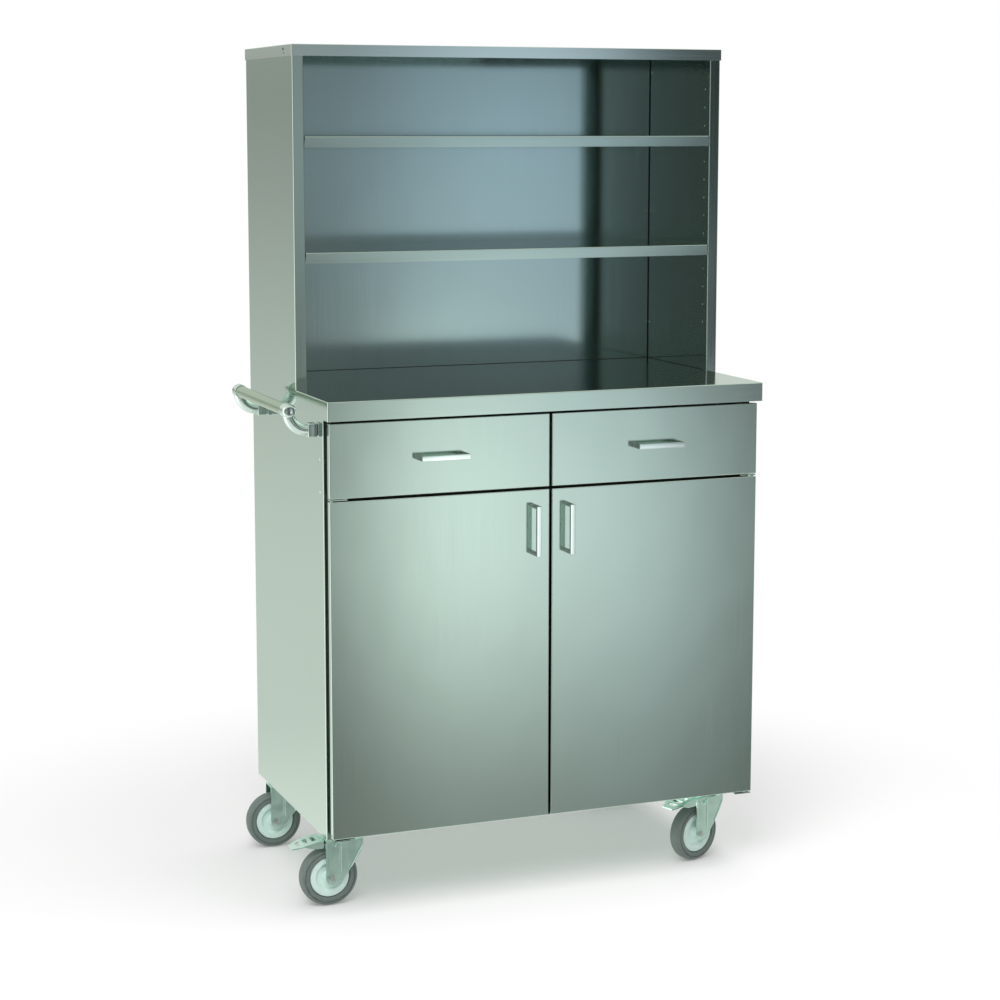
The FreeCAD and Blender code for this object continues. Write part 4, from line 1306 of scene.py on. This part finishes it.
@dataclass
class CasterTops:
    """Top plates with king pins, bolts and swivel bearings of all four casters."""

    places: tuple[tuple[float, float], ...] = (
        (-424.0, 62.0), (424.0, 62.0), (-424.0, 480.0), (424.0, 480.0)
    )
    plate_low: float = 157.0
    plate_half: tuple[float, float] = (50.0, 42.5)
    bolt_place: tuple[float, float] = (40.0, 30.0)
    cabinet_bottom: float = 160.0

    def build(self, finishes: Finishes) -> None:
        """Build and dress the plates, bolts and bearings.

        Args:
            finishes: The finishes.
        """
        plates, bolts, rings = Bench(), Bench(), Bench()
        half_x, half_y = self.plate_half
        for x, y in self.places:
            plates.block((x - half_x, y - half_y, self.plate_low),
                         (x + half_x, y + half_y, self.cabinet_bottom), 0.8)
            plates.turned([(0.0, 137.2), (9.0, 137.2), (10.0, 138.0), (10.0, 140.6),
                           (6.0, 140.7), (6.0, 157.5), (0.0, 157.5)], (x, y, 0.0), Axis.Z, 32)
            rings.turned([(8.0, 145.3), (25.0, 145.3), (28.4, 146.2), (29.0, 148.0),
                          (29.0, 150.6), (27.2, 151.6), (27.2, 152.6), (28.6, 153.4),
                          (28.6, 156.9), (8.0, 156.9)], (x, y, 0.0), Axis.Z, 56, closed=True)
            for way_x in (-1.0, 1.0):
                for way_y in (-1.0, 1.0):
                    self.bolt(bolts, x + way_x * self.bolt_place[0],
                              y + way_y * self.bolt_place[1])
        plates.lay_out("caster_top_plates", "carcass", finishes.zinc, ("caster_plates",),
                       "zinc_plated_steel")
        bolts.lay_out("caster_plate_bolts", "carcass", finishes.plated, ("caster_bolts",),
                      "zinc_plated_steel")
        rings.lay_out("swivel_ball_races", "carcass", finishes.zinc, ("swivel_bearings",),
                      "zinc_plated_steel")

    def bolt(self, bench: Bench, x: float, y: float) -> None:
        """Add one hexagon bolt with a washer, its head below the plate.

        Args:
            bench: Bench of all bolts.
            x: Place across.
            y: Place in depth.
        """
        bench.turned([(0.0, 164.0), (4.0, 164.0), (4.0, 157.0), (6.4, 157.0), (6.5, 156.0),
                      (0.0, 155.9)], (x, y, 0.0), Axis.Z, 24)
        head = [(x + u, y + v) for u, v in hex_outline(12.4)]
        bench.plate(head, Axis.Z, 153.0, 156.2, 0.5)


@dataclass
class SmallFittings:
    """Rivets, screws and shelf pegs."""

    panel_x: float = 485.0
    hutch_x: float = 487.8
    side_rivet_y: float = 22.0
    corner_rivet_y: float = 515.6
    corner_rivet_z: tuple[float, float, float] = (1167.0, 1430.0, 1750.0)
    cap_screw: Point = (-492.0, 230.0, 1785.0)
    cap_rivet: Point = (-492.0, 227.0, 1777.0)
    bracket_screw_y: tuple[float, float] = (24.0, 400.0)
    bracket_screw_z: float = 1016.5
    shelf_peg_y: tuple[float, float] = (238.0, 492.0)
    shelf_peg_z: tuple[float, float] = (1348.0, 1588.0)
    inner_peg_y: tuple[float, float] = (60.0, 467.0)
    inner_peg_z: float = 502.0
    wall: float = 483.8

    def build(self, finishes: Finishes, rivet_heights: tuple[float, float]) -> None:
        """Build and dress them.

        Args:
            finishes: The finishes.
            rivet_heights: Heights of the two rivets at the front edge of each side.
        """
        small = Bench()
        dome = [(0.0, 0.0), (3.0, 0.0), (2.9, 0.45), (2.2, 0.95), (1.0, 1.2), (0.0, 1.2)]
        for side in (-1.0, 1.0):
            for z in rivet_heights:
                self.head(small, dome, (side * self.panel_x, self.side_rivet_y, z), side)
            for z in self.corner_rivet_z:
                self.head(small, dome, (side * self.hutch_x, self.corner_rivet_y, z), -side)
        screw = [(0.0, 0.0), (3.0, 0.0), (3.0, 0.4), (2.3, 0.8), (1.2, 0.8), (1.1, 0.3),
                 (0.0, 0.3)]
        dark = Bench()
        self.head(dark, screw, self.cap_screw, -1.0)
        dot = [(0.0, 0.0), (1.5, 0.0), (1.4, 0.5), (0.7, 0.8), (0.0, 0.8)]
        self.head(dark, dot, self.cap_rivet, -1.0)
        dark.lay_out("cap_screw_and_rivet", "carcass", finishes.dark_screw, ("small_fixings",),
                     "plated_fittings")
        pan_head = [(0.0, 0.0), (5.0, 0.0), (5.0, 1.4), (4.2, 2.9), (2.4, 3.5), (1.6, 3.5),
                    (1.5, 1.8), (0.0, 1.8)]
        for y in self.bracket_screw_y:
            self.head(small, pan_head, (-self.wall, y, self.bracket_screw_z), 1.0)
        small.lay_out("rivets_and_screws", "carcass", finishes.plated, ("small_fixings",),
                      "plated_fittings")
        pegs = Bench()
        peg = [(0.0, -0.7), (2.5, -0.7), (2.5, 0.0), (4.0, 0.0), (4.0, 6.8), (3.2, 8.0),
               (0.0, 8.0)]
        for side in (-1.0, 1.0):
            for y in self.shelf_peg_y:
                for z in self.shelf_peg_z:
                    self.head(pegs, peg, (side * self.hutch_x, y, z), -side)
            for y in self.inner_peg_y:
                self.head(pegs, peg, (side * self.wall, y, self.inner_peg_z), -side)
        pegs.lay_out("shelf_support_pegs", "carcass", finishes.plated, ("shelf_pegs",),
                     "plated_fittings")

    def head(self, bench: Bench, profile: Outline, point: Point, way: float) -> None:
        """Add one small turned piece on an upright face.

        Args:
            bench: Bench that gets it.
            profile: Radius and height above the face.
            point: Point on the face.
            way: 1 if the face looks along X, -1 if against it.
        """
        bench.turned([(r, way * h) for r, h in profile], point, Axis.X, 20)


@dataclass
class CarriedNodes:
    """Solids whose shape is right as it is; they get their finish here."""

    across: tuple[str, ...] = ("bottom_plate", "inner_shelf", "worktop_stiffeners",
                               "door_hinges")
    upright: tuple[str, ...] = ("side_panel_left", "side_panel_right", "back_panel",
                                "door_left_liner", "door_right_liner", "drawer_divider")
    crisp: tuple[str, ...] = ("hutch_side_left", "hutch_side_right")
    # hutch_back gets the back sheet, whose darker, bluer colour is painted shade and
    # reflection.
    back: tuple[str, ...] = ("hutch_back",)
    deep: tuple[str, ...] = ("drawer_left_box", "drawer_right_box", "runner_rails")
    plated: tuple[str, ...] = ("runner_fixed_members", "runner_left_middle",
                               "runner_right_middle", "runner_left_inner",
                               "runner_right_inner")
    # front_frame is near-black as painted shade of the recess; the door catches share the
    # finish.
    black: tuple[str, ...] = ("front_frame", "door_catches")

    def dress(self, finishes: Finishes) -> None:
        """Give every carried node its finish.

        Args:
            finishes: The finishes.
        """
        groups = (
            (self.across, finishes.across),
            (self.upright, finishes.upright),
            (self.crisp, finishes.crisp),
            (self.back, finishes.back),
            (self.deep, finishes.deep),
            (self.plated, finishes.plated),
            (self.black, finishes.black),
        )
        for names, material in groups:
            for name in names:
                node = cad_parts[name]
                for index in range(len(node.material_slots)):
                    node.material_slots[index].material = material
                if not node.material_slots:
                    node.data.materials.append(material)
                LOG.info("node %s keeps its solid, finish %s", name, material.name)


# ------------------------------------------------------------------ studio
@dataclass(frozen=True)
class SoftWindow:
    """Soft bright window in the studio's grey tent, or a flag if its colour is negative."""

    azimuth: float
    elevation: float
    half_width: float
    half_height: float
    colour: tuple[float, float, float]


@dataclass(frozen=True)
class Softbox:
    """Square soft lamp; its place and size are metres, its power watts."""

    name: str
    place: Point
    size: float
    power: float


@dataclass
class Studio:
    """Pale floor, grey reflection tent, soft lamps and the camera, in metres and degrees."""

    surround_light: float = 0.42
    floor_half: float = 12.0
    floor_paint: str = "#E9E7E8"
    floor_glow: float = 0.16
    tent_floor: tuple[float, float, float] = (0.035, 0.045, 0.045)
    lamp_aim: Point = (0.0, 0.0, 0.6)
    softboxes: tuple[Softbox, ...] = (
        Softbox("key_softbox", (-1.9, -2.6, 3.6), 2.4, 100.0),
        Softbox("top_softbox", (0.6, -0.4, 4.2), 3.0, 90.0),
    )
    lens: float = 80.942
    sensor: float = 36.0
    shift: tuple[float, float] = (0.014, -0.065)
    far_clip: float = 200.0
    camera_place: Point = (-1.77798, -4.54820, 1.62585)
    camera_pitch: float = 7.81
    camera_azimuth: float = 21.303

    tent_radius: float = 400.0
    floor_near: float = 0.75
    floor_far: float = 1.6
    side_low: float = 0.755
    side_level: float = 0.30
    side_high: float = 0.85
    front_level: float = 0.085
    underside_glow: float = 0.22
    tent_tint: tuple[float, float, float] = (0.95, 1.0, 0.93)
    windows: tuple[SoftWindow, ...] = (
        SoftWindow(20.3, -10.0, 1.6, 3.9, (1.44, 1.58, 1.52)),
        SoftWindow(24.9, -9.8, 1.8, 4.1, (0.86, 0.97, 1.02)),
        SoftWindow(22.1, -0.3, 3.1, 3.3, (0.51, 0.65, 0.77)),
        SoftWindow(16.0, 1.0, 0.8, 5.0, (0.2, 0.22, 0.22)),
        SoftWindow(-22.3, -1.0, 0.8, 7.0, (0.66, 0.8, 0.92)),
        SoftWindow(-105.0, 0.0, 20.0, 34.0, (1.5, 1.6, 1.5)),
        SoftWindow(-31.0, -15.5, 9.0, 3.2, (0.5, 0.55, 0.52)),
        SoftWindow(-44.5, -6.0, 6.0, 9.0, (0.42, 0.46, 0.44)),
        SoftWindow(-11.5, -8.0, 3.6, 8.0, (0.42, 0.46, 0.44)),
        SoftWindow(0.0, -8.0, 4.6, 8.0, (0.42, 0.46, 0.44)),
        SoftWindow(48.0, -6.0, 6.5, 9.0, (0.42, 0.46, 0.44)),
    )
    flags: tuple[SoftWindow, ...] = (
        SoftWindow(27.1, 0.5, 0.8, 3.4, (-0.34, -0.39, -0.42)),
        SoftWindow(27.1, -5.2, 0.55, 1.0, (-0.28, -0.33, -0.32)),
        SoftWindow(26.2, 2.2, 0.9, 0.9, (-0.3, -0.36, -0.4)),
    )

    def build(self) -> None:
        """Set up the whole studio."""
        self.world()
        self.floor()
        self.tent()
        self.lamps()
        self.camera()
        bpy.context.scene.view_settings.view_transform = "Standard"

    def world(self) -> None:
        """Set the white surround: full white where it is seen, softer where it lights."""
        world = bpy.data.worlds.new("white studio")
        world.use_nodes = True
        tree = world.node_tree
        tree.nodes.clear()
        light, white = (
            add_node(tree, "ShaderNodeBackground", sockets={"Color": WHITE, "Strength": power})
            for power in (self.surround_light, 1.0)
        )
        mixed = add_node(
            tree,
            "ShaderNodeMixShader",
            links={0: rays_that_see(tree), 1: light.outputs[0], 2: white.outputs[0]},
        )
        add_node(tree, "ShaderNodeOutputWorld", links={"Surface": mixed.outputs[0]})
        bpy.context.scene.world = world

    def floor(self) -> None:
        """Lay the pale floor, which reads white where no shadow falls."""
        bm = bmesh.new()
        bmesh.ops.create_grid(bm, x_segments=2, y_segments=2, size=self.floor_half)
        floor = self.stage_piece("studio_floor", bm)
        material, tree = blank_material("white painted studio floor")
        place = add_node(tree, "ShaderNodeTexCoord").outputs["Object"]
        away = add_node(
            tree, "ShaderNodeVectorMath", settings={"operation": "LENGTH"}, links={0: place}
        )
        far = add_node(
            tree,
            "ShaderNodeMapRange",
            settings={"interpolation_type": "SMOOTHSTEP"},
            sockets={"From Min": self.floor_near, "From Max": self.floor_far},
            links={"Value": away.outputs["Value"]},
        )
        paint = add_node(
            tree,
            "ShaderNodeBsdfDiffuse",
            sockets={"Color": linear(self.floor_paint), "Roughness": 0.0},
        )
        glow, white = (
            add_node(tree, "ShaderNodeEmission", sockets={"Color": WHITE, "Strength": power})
            for power in (self.floor_glow, 1.0)
        )
        both = add_node(
            tree, "ShaderNodeAddShader", links={0: paint.outputs[0], 1: glow.outputs[0]}
        )
        seen = add_node(
            tree,
            "ShaderNodeMixShader",
            links={0: far.outputs["Result"], 1: both.outputs[0], 2: white.outputs[0]},
        )
        mixed = add_node(
            tree,
            "ShaderNodeMixShader",
            links={0: rays_that_see(tree), 1: paint.outputs[0], 2: seen.outputs[0]},
        )
        add_node(tree, "ShaderNodeOutputMaterial", links={"Surface": mixed.outputs[0]})
        floor.data.materials.append(material)
        floor.visible_glossy = False

    def stage_piece(self, name: str, bm: bmesh.types.BMesh) -> bpy.types.Object:
        """Make an object of the studio and free its bmesh.

        Args:
            name: Name of the object.
            bm: Its shape, in metres.

        Returns:
            The object, linked to the scene.
        """
        mesh = bpy.data.meshes.new(name)
        bm.to_mesh(mesh)
        bm.free()
        piece = bpy.data.objects.new(name, mesh)
        bpy.context.scene.collection.objects.link(piece)
        return piece

    def tent(self) -> None:
        """Hang the grey tent round the steel, as for polished ware, with its soft windows."""
        bm = bmesh.new()
        bmesh.ops.create_icosphere(bm, subdivisions=4, radius=self.tent_radius)
        tent = self.stage_piece("reflection_tent", bm)
        tent.data.materials.append(self.tent_cloth())
        for rays in ("camera", "diffuse", "transmission", "shadow", "volume_scatter"):
            setattr(tent, "visible_" + rays, False)

    def tent_cloth(self) -> bpy.types.Material:
        """Paint the tent's glowing cloth: darker at eye level and in front.

        Returns:
            Its material.
        """
        material, tree = blank_material("grey tent cloth")
        place = add_node(tree, "ShaderNodeTexCoord").outputs["Object"]
        way = add_node(
            tree, "ShaderNodeVectorMath", settings={"operation": "NORMALIZE"}, links={0: place}
        )
        xyz = add_node(tree, "ShaderNodeSeparateXYZ", links={0: way.outputs[0]})
        forward = add_node(
            tree,
            "ShaderNodeMath",
            settings={"operation": "MULTIPLY"},
            sockets={1: -1.0},
            links={0: xyz.outputs["Y"]},
        )
        azimuth = add_node(
            tree,
            "ShaderNodeMath",
            settings={"operation": "ARCTAN2"},
            links={0: xyz.outputs["X"], 1: forward.outputs[0]},
        )
        elevation, aside = (
            add_node(tree, "ShaderNodeMath", settings={"operation": work}, links={0: angle})
            for work, angle in (("ARCSINE", xyz.outputs["Z"]), ("ABSOLUTE", azimuth.outputs[0]))
        )
        steps = (
            (elevation, -13.0, 4.5, self.side_low, self.side_level),
            (elevation, 0.5, 9.0, 0.0, self.side_high - self.side_level),
            (aside, 50.0, 80.0, 1.0, 0.0),
            (elevation, 6.0, 30.0, 1.0, 0.0),
            (elevation, -28.0, -17.0, 0.0, 1.0),
            (elevation, -18.5, -14.5, self.underside_glow, 0.0),
        )
        low, high, in_front, not_high, not_low, under = (
            add_node(
                tree,
                "ShaderNodeMapRange",
                settings={"interpolation_type": "SMOOTHSTEP"},
                sockets={
                    "From Min": math.radians(start),
                    "From Max": math.radians(end),
                    "To Min": first,
                    "To Max": last,
                },
                links={"Value": angle.outputs[0]},
            ).outputs["Result"]
            for angle, start, end, first, last in steps
        )
        general, dark = low, in_front
        for addend, factor in ((high, not_high), (under, not_low)):
            general, dark = (
                add_node(
                    tree, "ShaderNodeMath", settings={"operation": work}, links={0: old, 1: new}
                ).outputs[0]
                for work, old, new in (("ADD", general, addend), ("MULTIPLY", dark, factor))
            )
        level = add_node(
            tree,
            "ShaderNodeMix",
            settings={"data_type": "FLOAT"},
            sockets={3: self.front_level},
            links={0: dark, 2: general},
        )
        angles = add_node(
            tree,
            "ShaderNodeCombineXYZ",
            links={0: azimuth.outputs[0], 1: elevation.outputs[0]},
        )
        total = add_node(
            tree,
            "ShaderNodeVectorMath",
            settings={"operation": "SCALE"},
            sockets={0: self.tent_tint},
            links={"Scale": level.outputs[0]},
        ).outputs[0]
        for window in self.windows + self.flags:
            total = add_node(
                tree,
                "ShaderNodeVectorMath",
                settings={"operation": "ADD"},
                links={0: total, 1: self.window_glow(tree, angles.outputs[0], window)},
            ).outputs[0]
        total = add_node(
            tree,
            "ShaderNodeVectorMath",
            settings={"operation": "MAXIMUM"},
            sockets={1: self.tent_floor},
            links={0: total},
        ).outputs[0]
        glow = add_node(
            tree, "ShaderNodeEmission", sockets={"Strength": 1.0}, links={"Color": total}
        )
        add_node(tree, "ShaderNodeOutputMaterial", links={"Surface": glow.outputs[0]})
        return material

    def window_glow(
        self, tree: bpy.types.NodeTree, angles: bpy.types.NodeSocket, window: SoftWindow
    ) -> bpy.types.NodeSocket:
        """Draw one soft window.

        Args:
            tree: The node tree.
            angles: Azimuth and elevation in radians.
            window: The window.

        Returns:
            Its colour's socket.
        """
        wide, tall = math.radians(window.half_width), math.radians(window.half_height)
        centre = (math.radians(window.azimuth), math.radians(window.elevation))
        offset = add_node(
            tree,
            "ShaderNodeVectorMath",
            settings={"operation": "SUBTRACT"},
            sockets={1: (centre[0], centre[1], 0.0)},
            links={0: angles},
        )
        scaled = add_node(
            tree,
            "ShaderNodeVectorMath",
            settings={"operation": "MULTIPLY"},
            sockets={1: (1.0 / wide, 1.0 / tall, 0.0)},
            links={0: offset.outputs[0]},
        )
        square = add_node(
            tree,
            "ShaderNodeVectorMath",
            settings={"operation": "DOT_PRODUCT"},
            links={0: scaled.outputs[0], 1: scaled.outputs[0]},
        )
        power = add_node(
            tree,
            "ShaderNodeMath",
            settings={"operation": "MULTIPLY"},
            sockets={1: -0.5},
            links={0: square.outputs["Value"]},
        )
        fall = add_node(
            tree,
            "ShaderNodeMath",
            settings={"operation": "EXPONENT"},
            links={0: power.outputs[0]},
        )
        return add_node(
            tree,
            "ShaderNodeVectorMath",
            settings={"operation": "SCALE"},
            sockets={0: window.colour},
            links={"Scale": fall.outputs[0]},
        ).outputs[0]

    def lamps(self) -> None:
        """Hang two large soft lamps, for the shadow and the rubber."""
        for box in self.softboxes:
            data = bpy.data.lights.new(box.name, "AREA")
            data.shape = "SQUARE"
            data.size = box.size
            data.energy = box.power
            lamp = bpy.data.objects.new(box.name, data)
            bpy.context.scene.collection.objects.link(lamp)
            lamp.location = box.place
            aim = Vector(self.lamp_aim) - Vector(box.place)
            lamp.rotation_euler = aim.to_track_quat("-Z", "Y").to_euler()
            lamp.visible_glossy = False

    def camera(self) -> None:
        """Put the camera at eye height, left of the front, looking slightly down."""
        data = bpy.data.cameras.new("studio_camera")
        data.lens = self.lens
        data.sensor_width = self.sensor
        data.shift_x, data.shift_y = self.shift
        data.clip_end = self.far_clip
        camera = bpy.data.objects.new("studio_camera", data)
        bpy.context.scene.collection.objects.link(camera)
        camera.location = self.camera_place
        camera.rotation_euler = (
            math.radians(90.0 - self.camera_pitch), 0.0, -math.radians(self.camera_azimuth)
        )
        bpy.context.scene.camera = camera


# ------------------------------------------------------------------ assembly
def front_panels() -> list[FrontPanel]:
    """Set out the two drawers' and two doors' fronts.

    Returns:
        The four panels, left pair first.
    """
    outer, inner = 483.5, 2.75
    drawer_low, drawer_high, drawer_handle_z = 880.5, 1034.5, 957.5
    door_low, door_high, door_handle_x, door_handle_z = 170.0, 875.0, 38.0, 791.0
    panels = []
    for side, sign in (("left", -1.0), ("right", 1.0)):
        x0, x1 = sorted((sign * outer, sign * inner))
        panels.append(
            FrontPanel("drawer_" + side, "drawer_" + side, x0, x1, drawer_low, drawer_high,
                       (x0 + x1) / 2, drawer_handle_z, False)
        )
        panels.append(
            FrontPanel("door_" + side, "door_" + side, x0, x1, door_low, door_high,
                       sign * door_handle_x, door_handle_z, True)
        )
    return panels


def main() -> None:
    """Build the station piece by piece, then the studio."""
    logging.basicConfig(level=logging.INFO, format="%(name)s: %(message)s")
    finishes = Finishes()
    CarriedNodes().dress(finishes)
    Worktop().build(finishes)
    ShelfUnit().build(finishes)
    for panel in front_panels():
        panel.build(finishes)
    PushHandle().build(finishes)
    for place, x, y, turn in (
        ("front_left", -424.0, 62.0, 0.0),
        ("front_right", 424.0, 62.0, 18.6),
        ("rear_left", -424.0, 480.0, 0.0),
        ("rear_right", 424.0, 480.0, 0.0),
    ):
        Caster(place, x, y, turn, place.startswith("front")).build(finishes)
    CasterTops().build(finishes)
    SmallFittings().build(finishes, (887.0, 955.0))
    Studio().build()


if __name__ == "__main__":
    main()
